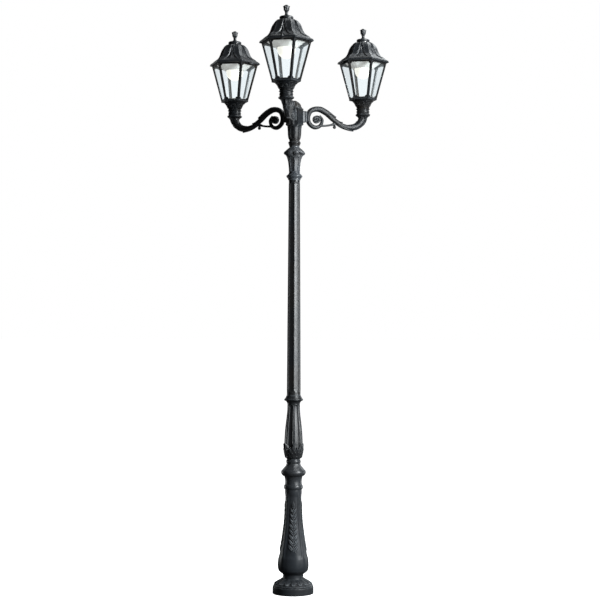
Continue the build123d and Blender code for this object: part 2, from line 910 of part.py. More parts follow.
# Round cap with a band that closes over the neck of the roof.
with BuildPart() as roof_cap:
    revolve(
        closed_profile(
            [
                (27.15, 3060),
                (33, 3060),
                (33, 3066),
                (35.6, 3067.5),
                (36.6, 3071),
                (36.6, 3075),
                (35.4, 3078.5),
                (32, 3080),
                (16, 3082),
                (5.3, 3082),
                (5.3, 3070.2),
                (27.15, 3070.2),
            ],
            LANTERN_XZ,
        ),
        axis=LANTERN_AXIS,
    )
    for bearing in (-60, 60, 180):
        b = math.radians(bearing)
        with BuildSketch(
            Plane(
                origin=(0, -ARM_REACH, 3063.5),
                x_dir=(-math.sin(b), math.cos(b), 0),
                z_dir=(math.cos(b), math.sin(b), 0),
            ).offset(22)
        ):
            Circle(2.0)
        extrude(amount=16, mode=Mode.SUBTRACT)
write_three(roof_cap.part, "roof_cap", LANTERN_TURN)

# Small screws through the band of the cap.
with BuildPart() as cap_screws:
    for bearing in (-60, 60, 180):
        b = math.radians(bearing)
        around = Plane(
            origin=(0, -ARM_REACH, 3063.5),
            x_dir=(-math.sin(b), math.cos(b), 0),
            z_dir=(math.cos(b), math.sin(b), 0),
        )
        with BuildSketch(around.offset(20)):
            Circle(2.0)
        extrude(amount=13.4)
        with BuildSketch(around.offset(31.4)):
            RegularPolygon(1.15, 6)
        extrude(amount=3, mode=Mode.SUBTRACT)
write_three(cap_screws.part, "cap_screws", LANTERN_TURN)

# Tulip finial screwed on the nipple.
with BuildPart() as finial:
    revolve(
        closed_profile(
            [
                (0, 3082),
                (13, 3082),
                (14, 3085),
                (11.5, 3088),
                (8.8, 3092),
                (8, 3099),
                (8.2, 3102),
                (9.8, 3103.5),
                (9.8, 3105),
                (9.2, 3106.4),
                (11, 3108),
                (13, 3112.5),
                (14, 3118),
                (14.6, 3123),
                (15.8, 3128),
                (17.6, 3132.4),
                (16, 3133.5),
                (11, 3137),
                (5, 3139.6),
                (0, 3140),
            ],
            LANTERN_XZ,
        ),
        axis=LANTERN_AXIS,
    )
    with BuildSketch(lantern_level(3082)):
        Circle(5.0)
    extrude(amount=13, mode=Mode.SUBTRACT)
write_three(finial.part, "finial", LANTERN_TURN)

# White six-sided reflector, a shallow pan that the globe hangs through.
with BuildPart() as reflector:
    with BuildSketch(lantern_level(2914.5)):
        RegularPolygon(60, 6)
    with BuildSketch(lantern_level(2952.5)):
        RegularPolygon(115, 6)
    loft(ruled=True)
    with BuildSketch(lantern_level(2952.5)):
        RegularPolygon(122, 6)
    extrude(amount=1.5)
    with BuildSketch(lantern_level(2916.2)):
        RegularPolygon(60, 6)
    with BuildSketch(lantern_level(2954.2)):
        RegularPolygon(115, 6)
    loft(ruled=True, mode=Mode.SUBTRACT)
    with BuildSketch(lantern_level(2911)):
        Circle(49.5)
    extrude(amount=10, mode=Mode.SUBTRACT)
write_three(reflector.part, "reflector", LANTERN_TURN)

# Lampholder hung from the nipple.
with BuildPart() as lampholder:
    revolve(
        closed_profile(
            [
                (14.4, 2963.5),
                (20, 2963.5),
                (20, 2980),
                (18.5, 2982),
                (18.5, 3000),
                (10, 3008),
                (5.05, 3008),
                (5.05, 2999),
                (14.4, 2996),
            ],
            LANTERN_XZ,
        ),
        axis=LANTERN_AXIS,
    )
write_three(lampholder.part, "lampholder", LANTERN_TURN)

# Threaded tube that ties lampholder, roof, cap and finial together.
with BuildPart() as stem_nipple:
    with BuildSketch(lantern_level(3000)):
        Circle(5.0)
        Circle(3.3, mode=Mode.SUBTRACT)
    extrude(amount=94)
write_three(stem_nipple.part, "stem_nipple", LANTERN_TURN)

# Thumb screw that holds the roof shut, with a knurled head.
with BuildPart() as roof_thumbscrew:
    with BuildSketch(lantern_level(2934)):
        with Locations((0, -SCREW_D)):
            Circle(2.5)
    extrude(amount=29)
    with BuildSketch(lantern_level(2962)):
        with Locations((0, -SCREW_D)):
            Circle(6.5)
    extrude(amount=8)
    with BuildSketch(lantern_level(2961)):
        with Locations((0, -SCREW_D)):
            with PolarLocations(6.9, 14):
                Circle(0.8)
    extrude(amount=10, mode=Mode.SUBTRACT)
write_three(roof_thumbscrew.part, "roof_thumbscrew", LANTERN_TURN)

# Opal glass globe of the bulb, a thin shell with a neck.
NECK_Z = BULB_Z + math.sqrt(BULB_R**2 - 20.0**2)
with BuildPart() as bulb_globe:
    with BuildSketch(LANTERN_XZ):
        with BuildLine():
            ThreePointArc((0, BULB_Z - BULB_R), (BULB_R, BULB_Z), (20, NECK_Z))
            Polyline((20, NECK_Z), (13.6, 2962), (13.6, 2966), (0, 2966), (0, BULB_Z - BULB_R))
        make_face()
    revolve(axis=LANTERN_AXIS)
    with BuildSketch(LANTERN_XZ):
        with BuildLine():
            ThreePointArc((0, BULB_Z - BULB_R + 1.3), (BULB_R - 1.3, BULB_Z), (18.6, NECK_Z - 0.8))
            Polyline((18.6, NECK_Z - 0.8), (12.2, 2961.8), (12.2, 2968), (0, 2968), (0, BULB_Z - BULB_R + 1.3))
        make_face()
    revolve(axis=LANTERN_AXIS, mode=Mode.SUBTRACT)
write_three(bulb_globe.part, "bulb_globe", LANTERN_TURN)

# Screw base of the bulb.
with BuildPart() as bulb_base:
    revolve(
        closed_profile(
            [
                (0, 2966),
                (13.4, 2966),
                (13.4, 2986),
                (10, 2989),
                (5, 2990.5),
                (5, 2993),
                (0, 2993.5),
            ],
            LANTERN_XZ,
        ),
        axis=LANTERN_AXIS,
    )
write_three(bulb_base.part, "bulb_base", LANTERN_TURN)
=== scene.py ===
import math

import bpy
import numpy as np
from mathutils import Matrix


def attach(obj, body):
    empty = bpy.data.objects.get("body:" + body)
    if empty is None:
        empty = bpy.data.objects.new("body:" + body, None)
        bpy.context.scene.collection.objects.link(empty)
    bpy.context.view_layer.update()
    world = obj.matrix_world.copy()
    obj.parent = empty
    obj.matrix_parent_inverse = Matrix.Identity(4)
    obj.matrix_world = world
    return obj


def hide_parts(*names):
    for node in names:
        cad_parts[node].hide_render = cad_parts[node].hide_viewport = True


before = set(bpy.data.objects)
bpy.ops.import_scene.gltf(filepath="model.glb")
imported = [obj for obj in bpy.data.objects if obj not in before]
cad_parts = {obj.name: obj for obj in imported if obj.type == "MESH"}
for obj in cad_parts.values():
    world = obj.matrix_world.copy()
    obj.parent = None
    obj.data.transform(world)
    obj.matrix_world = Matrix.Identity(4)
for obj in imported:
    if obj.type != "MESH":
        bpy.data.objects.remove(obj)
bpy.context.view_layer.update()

# ---------------------------------------------------------------- numbers
MM = 0.001
PI = math.pi
FRONT = math.radians(-84.0)  # bearing of the front arris of the eight-sided castings
REACH = 420.0  # post axis to lantern axis
TURNS = {"front": 0.0, "right": 120.0, "left": -120.0}
CAGE_FOOT, CAGE_TOP = 2738.0, 2945.0
FOOT_R, TOP_R = 77.0, 134.0  # corner radius of the cage
EAVE_R = 146.0
SPIN = math.radians(-5.2)  # turn of each lantern on its spigot
ARM_LINE = [
    (150, 2634), (167, 2612), (155, 2580), (122, 2568.5), (89, 2588), (80, 2621), (96, 2657), (140, 2671),
    (190, 2654), (241, 2615), (290, 2588), (340, 2581), (382, 2592), (410, 2622), (420, 2658),
]
ARM_RADII = [
    (0, 7.5), (0.08, 9.6), (0.16, 11.8), (0.24, 12.9), (0.32, 14.2), (0.40, 15.4), (0.48, 16.6), (0.55, 15.8), (0.62, 14), (0.68, 13.4),
    (0.78, 14.8), (0.88, 18.5), (0.95, 22), (1, 24),
]


# ---------------------------------------------------------------- small helpers
def ramp(a, b, x):
    t = np.clip((x - a) / (b - a), 0.0, 1.0)
    return t * t * (3.0 - 2.0 * t)


def hill(x, width):
    return np.exp(-((x / width) ** 2))


def wrap(a, period):
    return (a + period / 2.0) % period - period / 2.0


def speckle(a, b):
    """The same number from 0 to 1 for the same pair, spread evenly."""
    return (np.sin(a * 12.9898 + b * 78.233) * 43758.5453) % 1.0


def rotate(p, turn):
    c, s = math.cos(turn), math.sin(turn)
    q = np.array(p, float)
    q[..., 0], q[..., 1] = p[..., 0] * c - p[..., 1] * s, p[..., 0] * s + p[..., 1] * c
    return q


def through(points, gap):
    """Points about gap apart on a smooth line through the given ones."""
    q = np.array(points, float)
    if len(q) == 2:
        n = max(1, int(math.ceil(np.linalg.norm(q[1] - q[0]) / gap)))
        return q[0] + (q[1] - q[0]) * np.linspace(0, 1, n + 1)[:, None]
    q = np.vstack([2 * q[0] - q[1], q, 2 * q[-1] - q[-2]])
    out = []
    for i in range(1, len(q) - 2):
        p0, p1, p2, p3 = q[i - 1 : i + 3]
        k = [0.0]
        for a, b in ((p0, p1), (p1, p2), (p2, p3)):
            k.append(k[-1] + max(np.linalg.norm(b - a), 1e-6) ** 0.5)
        n = max(1, int(math.ceil(np.linalg.norm(p2 - p1) / gap)))
        t = np.linspace(k[1], k[2], n + 1)[:-1, None]
        a1 = (k[1] - t) / (k[1] - k[0]) * p0 + (t - k[0]) / (k[1] - k[0]) * p1
        a2 = (k[2] - t) / (k[2] - k[1]) * p1 + (t - k[1]) / (k[2] - k[1]) * p2
        a3 = (k[3] - t) / (k[3] - k[2]) * p2 + (t - k[2]) / (k[3] - k[2]) * p3
        b1 = (k[2] - t) / (k[2] - k[0]) * a1 + (t - k[0]) / (k[2] - k[0]) * a2
        b2 = (k[3] - t) / (k[3] - k[1]) * a2 + (t - k[1]) / (k[3] - k[1]) * a3
        out.append((k[2] - t) / (k[2] - k[1]) * b1 + (t - k[1]) / (k[2] - k[1]) * b2)
    return np.vstack(out + [q[-2:-1]])


def profile(points, gap=2.0):
    """A line of (r, z). A third entry in a point marks a corner, where the line breaks."""
    runs, run = [], [points[0][:2]]
    for p in points[1:]:
        run.append(p[:2])
        if len(p) > 2:
            runs.append(run)
            run = [p[:2]]
    if len(run) > 1:
        runs.append(run)
    parts = [through(r, gap) for r in runs]
    return np.vstack([p[:-1] for p in parts[:-1]] + [parts[-1]])


def turned(line, n, relief=None, section=None, start=0.0):
    """Rows of a turned casting. section scales the radius and relief stands off the surface, in mm."""
    r, z = line[:, 0:1], line[:, 1:2]
    th = (start + np.arange(n) * (2 * PI / n))[None, :]
    dr, dz = np.gradient(line[:, 0])[:, None], np.gradient(line[:, 1])[:, None]
    size = np.hypot(dr, dz) + 1e-9
    rad = r * (section(th, z) if section else np.ones_like(th))
    high = relief(th, z, rad) if relief else np.zeros_like(rad)
    high = high + np.zeros_like(rad)
    rad = rad + high * dz / size
    zz = z - high * dr / size
    return np.stack([rad * np.cos(th), rad * np.sin(th), zz + 0 * th], -1)


def six(th):
    """Radius of a six-sided section against its corner radius, corners at 0, 60, ... degrees."""
    return math.cos(PI / 6) / np.cos(wrap(th - PI / 6, PI / 3))


def eight(th):
    """The same for eight sides, with a corner at FRONT."""
    return math.cos(PI / 8) / np.cos(wrap(th - FRONT - PI / 8, PI / 4))


class Shape:
    """Closed shells in millimetres, gathered into one piece."""

    def __init__(self):
        self.points, self.fours, self.threes, self.count = [], [], [], 0

    def _shell(self, pts, fours, threes):
        fours = np.array(fours, np.int64).reshape(-1, 4)
        threes = np.array(threes, np.int64).reshape(-1, 3)
        tri = np.vstack([fours[:, [0, 1, 2]], fours[:, [0, 2, 3]], threes])
        mid = pts.mean(0)
        a, b, c = (pts[tri[:, i]] - mid for i in range(3))
        if np.einsum("ij,ij->i", a, np.cross(b, c)).sum() < 0:
            fours, threes = fours[:, ::-1], threes[:, ::-1]
        self.points.append(pts)
        self.fours.append(fours + self.count)
        self.threes.append(threes + self.count)
        self.count += len(pts)

    def rings(self, rows, loop=False, ends=(True, True)):
        """Rows of the same number of points, each a closed ring. Without loop, each end is closed to its middle."""
        m, n = rows.shape[:2]
        idx = np.arange(m * n).reshape(m, n)
        nxt = np.roll(idx, -1, 1)
        up = np.roll(idx, -1, 0) if loop else idx[1:]
        upn = np.roll(nxt, -1, 0) if loop else nxt[1:]
        k = m if loop else m - 1
        fours = np.stack([idx[:k], nxt[:k], upn, up], -1).reshape(-1, 4)
        pts, threes = [rows.reshape(-1, 3)], []
        if not loop:
            c = m * n
            for row, turned_in in ((0, True), (m - 1, False)):
                pts.append(rows[row].mean(0)[None])
                a, b = idx[row], nxt[row]
                threes.append(np.stack([b, a, np.full(n, c)] if turned_in else [a, b, np.full(n, c)], -1))
                c += 1
        self._shell(np.vstack(pts), fours, np.vstack(threes) if threes else [])
        return self

    def cast(self, rows, inside):
        """Outer rows of a hollow casting, closed by rings at the (r, z) points of inside, from its top to its foot."""
        th = np.arctan2(rows[0, :, 1], rows[0, :, 0])
        more = [np.stack([r * np.cos(th), r * np.sin(th), np.full(len(th), float(z))], -1) for r, z in inside]
        return self.rings(np.vstack([rows, np.array(more)]), loop=True)

    def box(self, low, high, soft=1.0, k=3):
        """A block with rounded edges, as rings of a rounded rectangle along z."""
        (x0, y0, z0), (x1, y1, z1) = low, high
        rows = []
        for t in np.linspace(0, PI / 2, k + 1):
            rows.append((soft * (1 - math.sin(t)), z0 + soft * (1 - math.cos(t))))
        for t in np.linspace(PI / 2, 0, k + 1):
            rows.append((soft * (1 - math.sin(t)), z1 - soft * (1 - math.cos(t))))
        out = []
        for inset, z in rows:
            ring = []
            rr = soft
            for cx, cy, a0 in ((x1, y1, 0), (x0, y1, PI / 2), (x0, y0, PI), (x1, y0, 1.5 * PI)):
                ox = cx - math.copysign(rr, cx - (x0 + x1) / 2)
                oy = cy - math.copysign(rr, cy - (y0 + y1) / 2)
                for t in np.linspace(a0, a0 + PI / 2, k + 1):
                    ring.append((ox + (rr - inset) * math.cos(t), oy + (rr - inset) * math.sin(t), z))
            out.append(ring)
        return self.rings(np.array(out))

    def sweep(self, line, radius, n=32, section=None, relief=None):
        """A bar along a line of (d, z) in the plane of an arm, d outwards."""
        t = np.gradient(line, axis=0)
        t /= np.linalg.norm(t, axis=1)[:, None]
        run = np.concatenate([[0], np.cumsum(np.linalg.norm(np.diff(line, axis=0), axis=1))])
        psi = (np.arange(n) * 2 * PI / n)[None, :]
        rho = radius[:, None] * (section(psi) if section else np.ones_like(psi))
        if relief:
            rho = rho + relief(psi, run[:, None], radius[:, None])
        d = line[:, 0:1] - t[:, 1:2] * rho * np.cos(psi)
        z = line[:, 1:2] + t[:, 0:1] * rho * np.cos(psi)
        return self.rings(np.stack([rho * np.sin(psi), -d, z], -1))

    def moved(self, turn, spin=0.0):
        """A copy turned by spin about the front lantern's axis, then by turn degrees about the post."""
        s = Shape()
        s.fours, s.threes, s.count = self.fours, self.threes, self.count
        axis = np.array([0.0, REACH, 0.0])
        s.points = [rotate(rotate(p + axis, spin) - axis, math.radians(turn)) for p in self.points]
        return s

    def shift(self, x=0.0, y=0.0, z=0.0):
        for p in self.points:
            p += np.array([x, y, z])
        return self


def piece(name, shape, material, body, nodes=(), sharp=34.0, calm=(), inside=None):
    pts = np.vstack(shape.points) * MM
    fours, threes = np.vstack(shape.fours), np.vstack(shape.threes)
    mesh = bpy.data.meshes.new(name)
    mesh.vertices.add(len(pts))
    mesh.vertices.foreach_set("co", pts.astype(np.float32).ravel())
    loops = np.concatenate([fours.ravel(), threes.ravel()]).astype(np.int32)
    mesh.loops.add(len(loops))
    mesh.loops.foreach_set("vertex_index", loops)
    starts = np.concatenate([np.arange(len(fours)) * 4, len(fours) * 4 + np.arange(len(threes)) * 3])
    mesh.polygons.add(len(starts))
    mesh.polygons.foreach_set("loop_start", starts.astype(np.int32))
    mesh.update(calc_edges=True)
    mesh.validate()
    mesh.polygons.foreach_set("use_smooth", np.ones(len(mesh.polygons), bool))
    mesh.set_sharp_from_angle(angle=math.radians(sharp))
    worn(mesh, calm)
    mesh.materials.append(material)
    # Painted lamplight: faces that look at the lantern's axis take the second, lighter material, which stands in for
    # the globe's light on them.
    if inside is not None:  # faces that look at the axis of the lantern
        mesh.materials.append(inside[0])
        n = len(mesh.polygons)
        at, way = np.empty(n * 3, np.float32), np.empty(n * 3, np.float32)
        mesh.polygons.foreach_get("center", at)
        mesh.polygons.foreach_get("normal", way)
        out = at.reshape(-1, 3)[:, :2] - np.array(inside[1])
        out = out / (np.linalg.norm(out, axis=1)[:, None] + 1e-9)
        inner = np.einsum("ij,ij->i", out, way.reshape(-1, 3)[:, :2]) < -0.35
        mesh.polygons.foreach_set("material_index", inner.astype(np.int32))
    obj = bpy.data.objects.new(name, mesh)
    bpy.context.scene.collection.objects.link(obj)
    if nodes:
        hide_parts(*nodes)
    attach(obj, body)
    return obj


def worn(mesh, calm=()):
    """Point attribute rub: above 0 on ridges, where the coating is rubbed, and below 0 in hollows, where dust stays."""
    n = len(mesh.vertices)
    co, no = np.empty(n * 3, np.float32), np.empty(n * 3, np.float32)
    mesh.vertices.foreach_get("co", co)
    mesh.vertex_normals.foreach_get("vector", no)
    co, no = co.reshape(-1, 3).astype(float), no.reshape(-1, 3).astype(float)
    e = np.empty(len(mesh.edges) * 2, np.int32)
    mesh.edges.foreach_get("vertices", e)
    a, b = e.reshape(-1, 2).T
    deg = np.bincount(np.concatenate([a, b]), minlength=n).astype(float)
    deg[deg == 0] = 1

    def spread(v):
        out = np.zeros_like(v)
        if v.ndim == 1:
            out += np.bincount(a, v[b], n) + np.bincount(b, v[a], n)
            return out / deg
        for i in range(3):
            out[:, i] = np.bincount(a, v[b, i], n) + np.bincount(b, v[a, i], n)
        return out / deg[:, None]

    size = np.linalg.norm(co[a] - co[b], axis=1)
    edge = (np.bincount(a, size, n) + np.bincount(b, size, n)) / deg + 1e-9
    soft = co
    for _ in range(3):
        soft = 0.5 * soft + 0.5 * spread(soft)
    rub = np.einsum("ij,ij->i", co - soft, no) / edge
    for _ in range(2):
        rub = 0.5 * rub + 0.5 * spread(rub)
    for z0, z1 in calm:  # joints between castings stay dark
        rub = np.where((co[:, 2] > z0 * MM) & (co[:, 2] < z1 * MM), np.minimum(rub, -0.05), rub)
    at = mesh.attributes.new("rub", "FLOAT", "POINT")
    at.data.foreach_set("value", np.clip(rub * 3.0, -1, 1).astype(np.float32))


# ---------------------------------------------------------------- materials
class Nodes:
    def __init__(self, name):
        self.m = bpy.data.materials.new(name)
        self.m.use_nodes = True
        self.t = self.m.node_tree
        self.t.nodes.clear()
        self.out = self.new("ShaderNodeOutputMaterial")
        self.bsdf = self.new("ShaderNodeBsdfPrincipled")
        self.link(self.bsdf.outputs[0], self.out.inputs["Surface"])
        self.at = self.new("ShaderNodeTexCoord").outputs["Object"]

    def new(self, kind, **values):
        n = self.t.nodes.new(kind)
        for k, v in values.items():
            setattr(n, k, v)
        return n

    def link(self, a, b):
        self.t.links.new(a, b)

    def set(self, **values):
        for k, v in values.items():
            self.bsdf.inputs[k.replace("_", " ")].default_value = v
        return self

    def noise(self, scale, detail=4.0, rough=0.55, stretch=None):
        n = self.new("ShaderNodeTexNoise")
        n.inputs["Scale"].default_value = scale
        n.inputs["Detail"].default_value = detail
        n.inputs["Roughness"].default_value = rough
        at = self.at
        if stretch:
            m = self.new("ShaderNodeMapping")
            m.inputs["Scale"].default_value = stretch
            self.link(at, m.inputs["Vector"])
            at = m.outputs[0]
        self.link(at, n.inputs["Vector"])
        return n.outputs["Fac"]

    def cells(self, scale):
        n = self.new("ShaderNodeTexVoronoi")
        n.inputs["Scale"].default_value = scale
        self.link(self.at, n.inputs["Vector"])
        return n.outputs["Distance"]

    def span(self, value, a, b, low=0.0, high=1.0):
        n = self.new("ShaderNodeMapRange")
        n.inputs["From Min"].default_value = a
        n.inputs["From Max"].default_value = b
        n.inputs["To Min"].default_value = low
        n.inputs["To Max"].default_value = high
        self.link(value, n.inputs["Value"])
        return n.outputs[0]

    def sum(self, a, b, kind="ADD"):
        n = self.new("ShaderNodeMath", operation=kind)
        for i, v in enumerate((a, b)):
            if isinstance(v, (int, float)):
                n.inputs[i].default_value = v
            else:
                self.link(v, n.inputs[i])
        return n.outputs[0]

    def mix(self, fac, a, b):
        n = self.new("ShaderNodeMix", data_type="RGBA")
        self.link(fac, n.inputs["Factor"])
        for socket, v in (("A", a), ("B", b)):
            s = [i for i in n.inputs if i.name == socket and i.type == "RGBA"][0]
            if isinstance(v, tuple):
                s.default_value = (*v, 1.0)
            else:
                self.link(v, s)
        return [o for o in n.outputs if o.type == "RGBA"][0]

    def attribute(self, name):
        return self.new("ShaderNodeAttribute", attribute_name=name).outputs["Fac"]

    def colour(self, value):
        self.link(value, self.bsdf.inputs["Base Color"])
        return self

    def rough(self, value):
        self.link(value, self.bsdf.inputs["Roughness"])
        return self

    def bump(self, height, strength, distance):
        n = self.new("ShaderNodeBump")
        n.inputs["Strength"].default_value = strength
        n.inputs["Distance"].default_value = distance
        self.link(height, n.inputs["Height"])
        self.link(n.outputs[0], self.bsdf.inputs["Normal"])
        return self


def cast_black(name, warm=0.5, shine=0.32, deep=1.0, rubbed=0.65, pale=1.0):
    """Black coated casting: fine orange-peel grain, paler rubbed ridges, dust in hollows, a slow change of tone."""
    m = Nodes(name)
    slow, patch, grain = m.noise(5.0, 3), m.noise(55.0, 5), m.noise(850.0, 3, 0.6)

    # deep scales every colour of the coating and pale the colour of the rubbed ridges; several copies below lift them
    # as painted light.
    def tone(*c):
        return tuple(deep * v for v in c)

    base = m.mix(m.span(slow, 0.38, 0.66, 0.0, warm), tone(0.0084, 0.0098, 0.0116), tone(0.0150, 0.0122, 0.0100))
    base = m.mix(m.span(patch, 0.48, 0.78, 0.0, 0.35), base, tone(0.0155, 0.0168, 0.0182))
    rough = m.span(patch, 0.3, 0.7, 0.30, 0.40)
    rub = m.attribute("rub")
    broken = m.sum(rub, m.span(patch, 0.3, 0.7, -0.10, 0.10))
    base = m.mix(m.span(broken, 0.16, 0.60, 0.0, rubbed), base, (0.054 * pale, 0.059 * pale, 0.064 * pale))
    base = m.mix(m.span(broken, -0.12, -0.55, 0.0, 0.3), base, tone(0.020, 0.019, 0.017))
    rough = m.sum(rough, m.span(rub, -0.4, 0.4, 0.10, -0.06))
    m.colour(base).rough(rough)
    m.bump(m.sum(grain, m.sum(patch, 0.5, "MULTIPLY")), 0.20, 0.0005)
    m.set(Specular_IOR_Level=shine)
    return m.m


def metal(name, colour, dark, low, high, scale=300.0, stretch=(1, 1, 1)):
    m = Nodes(name)
    lines, spots = m.noise(scale, 4, 0.6, stretch), m.noise(90.0, 4)
    m.colour(m.mix(m.span(spots, 0.4, 0.75), colour, dark))
    m.rough(m.span(lines, 0.3, 0.7, low, high))
    m.bump(lines, 0.15, 0.0002)
    m.set(Metallic=1.0)
    return m.m


def plain(name, colour, other, low, high, scale, strength=0.15, distance=0.0004, **more):
    m = Nodes(name)
    spots, grain = m.noise(scale, 4), m.noise(scale * 9, 3)
    m.colour(m.mix(m.span(spots, 0.35, 0.7), colour, other))
    m.rough(m.span(spots, 0.3, 0.7, low, high))
    m.bump(grain, strength, distance)
    m.set(**more)
    return m.m


def pane_glass(name):
    """Thin clear pane: lets light straight through, a faint blue-green body and patches of dust."""
    m = Nodes(name)
    dust, wave = m.noise(38.0, 5), m.noise(14.0, 2)
    m.colour(m.mix(m.span(dust, 0.45, 0.8), (0.16, 0.18, 0.19), (0.22, 0.23, 0.24)))
    m.rough(m.span(dust, 0.4, 0.8, 0.03, 0.10))
    m.bump(wave, 0.05, 0.0006)
    m.set(IOR=1.45, Specular_IOR_Level=0.5)
    clear = m.new("ShaderNodeBsdfTransparent")
    clear.inputs["Color"].default_value = (0.960, 0.978, 0.985, 1.0)
    join = m.new("ShaderNodeMixShader")
    edge = m.new("ShaderNodeFresnel")
    edge.inputs["IOR"].default_value = 1.45
    cover = m.sum(m.sum(edge.outputs[0], 0.10, "MULTIPLY"), m.span(dust, 0.5, 0.85, 0.002, 0.010))
    m.link(cover, join.inputs[0])
    m.link(clear.outputs[0], join.inputs[1])
    m.link(m.bsdf.outputs[0], join.inputs[2])
    # Painted reflection: a faint even glow stands in for bright surroundings mirrored in the pane.
    painted_reflection = m.new("ShaderNodeEmission")  # bright surroundings mirrored in the pane
    painted_reflection.inputs["Color"].default_value = (0.94, 0.98, 1.0, 1.0)
    painted_reflection.inputs["Strength"].default_value = 0.010
    both = m.new("ShaderNodeAddShader")
    m.link(join.outputs[0], both.inputs[0])
    m.link(painted_reflection.outputs[0], both.inputs[1])
    m.link(both.outputs[0], m.out.inputs["Surface"])
    return m.m


def opal(name):
    """Lit opal globe: even warm white with a faint cloudy change of tone."""
    m = Nodes(name)
    cloud = m.noise(24.0, 3)
    m.colour(m.mix(m.span(cloud, 0.3, 0.7), (0.50, 0.485, 0.44), (0.46, 0.44, 0.39)))
    m.rough(m.span(cloud, 0.3, 0.7, 0.22, 0.34))
    m.link(m.mix(m.span(cloud, 0.25, 0.75), (1.0, 0.97, 0.88), (1.0, 0.955, 0.85)), m.bsdf.inputs["Emission Color"])
    m.set(Emission_Strength=0.92, Specular_IOR_Level=0.5)
    m.bump(cloud, 0.04, 0.0005)
    return m.m


CAST = cast_black("cast_black_post", warm=0.35)
CAST_SHAFT = cast_black("cast_black_shaft", warm=0.9)
CAST_HUB = cast_black("cast_black_hub", warm=0.9, shine=0.15, rubbed=0.5)
# Painted fill light: lighter copies of the casting for the foot and the collar lift their shaded sides; on the foot the
# paler ridges also stand in part as painted highlights on the leaves.
CAST_FOOT_PAINTED_FILL = cast_black("cast_black_foot_painted_fill", warm=0.2, shine=0.12, deep=2.0, rubbed=1.0, pale=2.0)
CAST_COLLAR_PAINTED_FILL = cast_black("cast_black_collar_painted_fill", warm=0.2, shine=0.32, deep=2.0)
CAST_ARM = cast_black("cast_black_arm", warm=0.5, shine=0.15)
CAST_WARM = cast_black("cast_black_lantern", warm=1.0, shine=0.07, deep=0.65, rubbed=0.25)
# Painted light: a far lighter copy of the casting, with paler ridges, standing in for the light that falls on the
# capital from above.
CAST_CAPITAL_PAINTED_LIGHT = cast_black("cast_black_capital_painted_light", warm=0.3, shine=0.20, deep=3.4, rubbed=0.7, pale=1.7)
CAST_ROOF = cast_black("cast_black_roof", warm=0.1, shine=0.36, rubbed=0.35)
# Painted lamplight: a far lighter copy of the casting for the cage's inner faces, standing in for the globe's light on
# them.
CAST_INSIDE_PAINTED_LAMPLIGHT = cast_black("cast_black_inside_painted_lamplight", warm=1.0, shine=0.5, deep=4.2, rubbed=0.3)
STAINLESS = metal("stainless_worn", (0.62, 0.62, 0.60), (0.42, 0.41, 0.39), 0.18, 0.36, 700.0)
STEEL = metal("galvanised_steel", (0.46, 0.47, 0.48), (0.33, 0.34, 0.35), 0.35, 0.55, 60.0)
BRASS = metal("brass_thread", (0.72, 0.55, 0.26), (0.52, 0.38, 0.17), 0.22, 0.40, 500.0, (1, 1, 9))
NICKEL = metal("nickel_cap", (0.66, 0.63, 0.58), (0.48, 0.45, 0.41), 0.16, 0.32, 500.0, (1, 1, 6))
DARK_PLASTIC = plain("dark_plastic", (0.020, 0.020, 0.021), (0.034, 0.034, 0.035), 0.42, 0.58, 120.0)
LIGHT_PLASTIC = plain("light_plastic", (0.62, 0.60, 0.55), (0.54, 0.52, 0.47), 0.38, 0.52, 110.0)
RUBBER = plain("gasket_rubber", (0.016, 0.016, 0.016), (0.030, 0.029, 0.028), 0.66, 0.82, 160.0, 0.3)
# Painted glow: the enamel's emission stands in for the light the globe throws on the pan, which is no lamp.
ENAMEL_PAINTED_GLOW = plain(
    "white_enamel", (0.56, 0.55, 0.52), (0.52, 0.505, 0.475), 0.24, 0.36, 30.0, 0.06, 0.0005,
    Emission_Color=(1.0, 0.975, 0.93, 1.0), Emission_Strength=0.21,
)
PORCELAIN = plain("porcelain", (0.80, 0.78, 0.73), (0.73, 0.71, 0.66), 0.14, 0.26, 60.0, 0.05)
GLASS = pane_glass("clear_pane")
OPAL = opal("opal_lit")


# ---------------------------------------------------------------- base cover
def base_relief(th, z, r):
    on = ramp(46.5, 51, z) * (1 - ramp(79, 83, z))
    t = np.clip((105 - r) / 44, 0, 1)
    out = np.zeros_like(r + th)
    for shift, first, high in ((0.0, 0.02, 7.0), (0.5, 0.34, 5.0)):
        a = wrap(th - FRONT - shift * PI / 8, PI / 8) / (PI / 16)
        s = np.clip((t - first) / (1 - first), 0, 1)
        w = 0.98 * np.sin(PI * np.clip(s, 0, 1) ** 0.55 * 0.62) + 1e-3
        body = np.clip(1 - (a / w) ** 2, 0, 1) ** 0.55 * ramp(0, 0.06, s)
        body = body * (1 - 0.35 * s) - 0.30 * hill(a, 0.10) * (s > 0.02) * (1 - s)
        out = np.maximum(out, high * body)
    return on * out


base = Shape().cast(
    turned(
        profile(
            [
                (111.2, 0), (113, 1.8), (113, 4), (113, 34), (112.4, 37.5), (110.6, 40, 1), (108.2, 41, 1), (108.2, 43.5),
                (109.6, 46), (107, 49.4), (101.5, 53.4), (86, 63.6), (73, 71.6), (65, 77), (60, 81.6), (57.8, 85.4), (56.9, 89),
                (56.5, 92), (56.4, 96),
            ],
            1.7,
        ),
        320,
        base_relief,
        start=FRONT,
    ),
    [(50, 96), (50, 88), (104, 40), (104, 0)],
)
piece("base_cover_leaves", base, CAST_FOOT_PAINTED_FILL, "post", ["base_cover"], calm=((84, 98),))


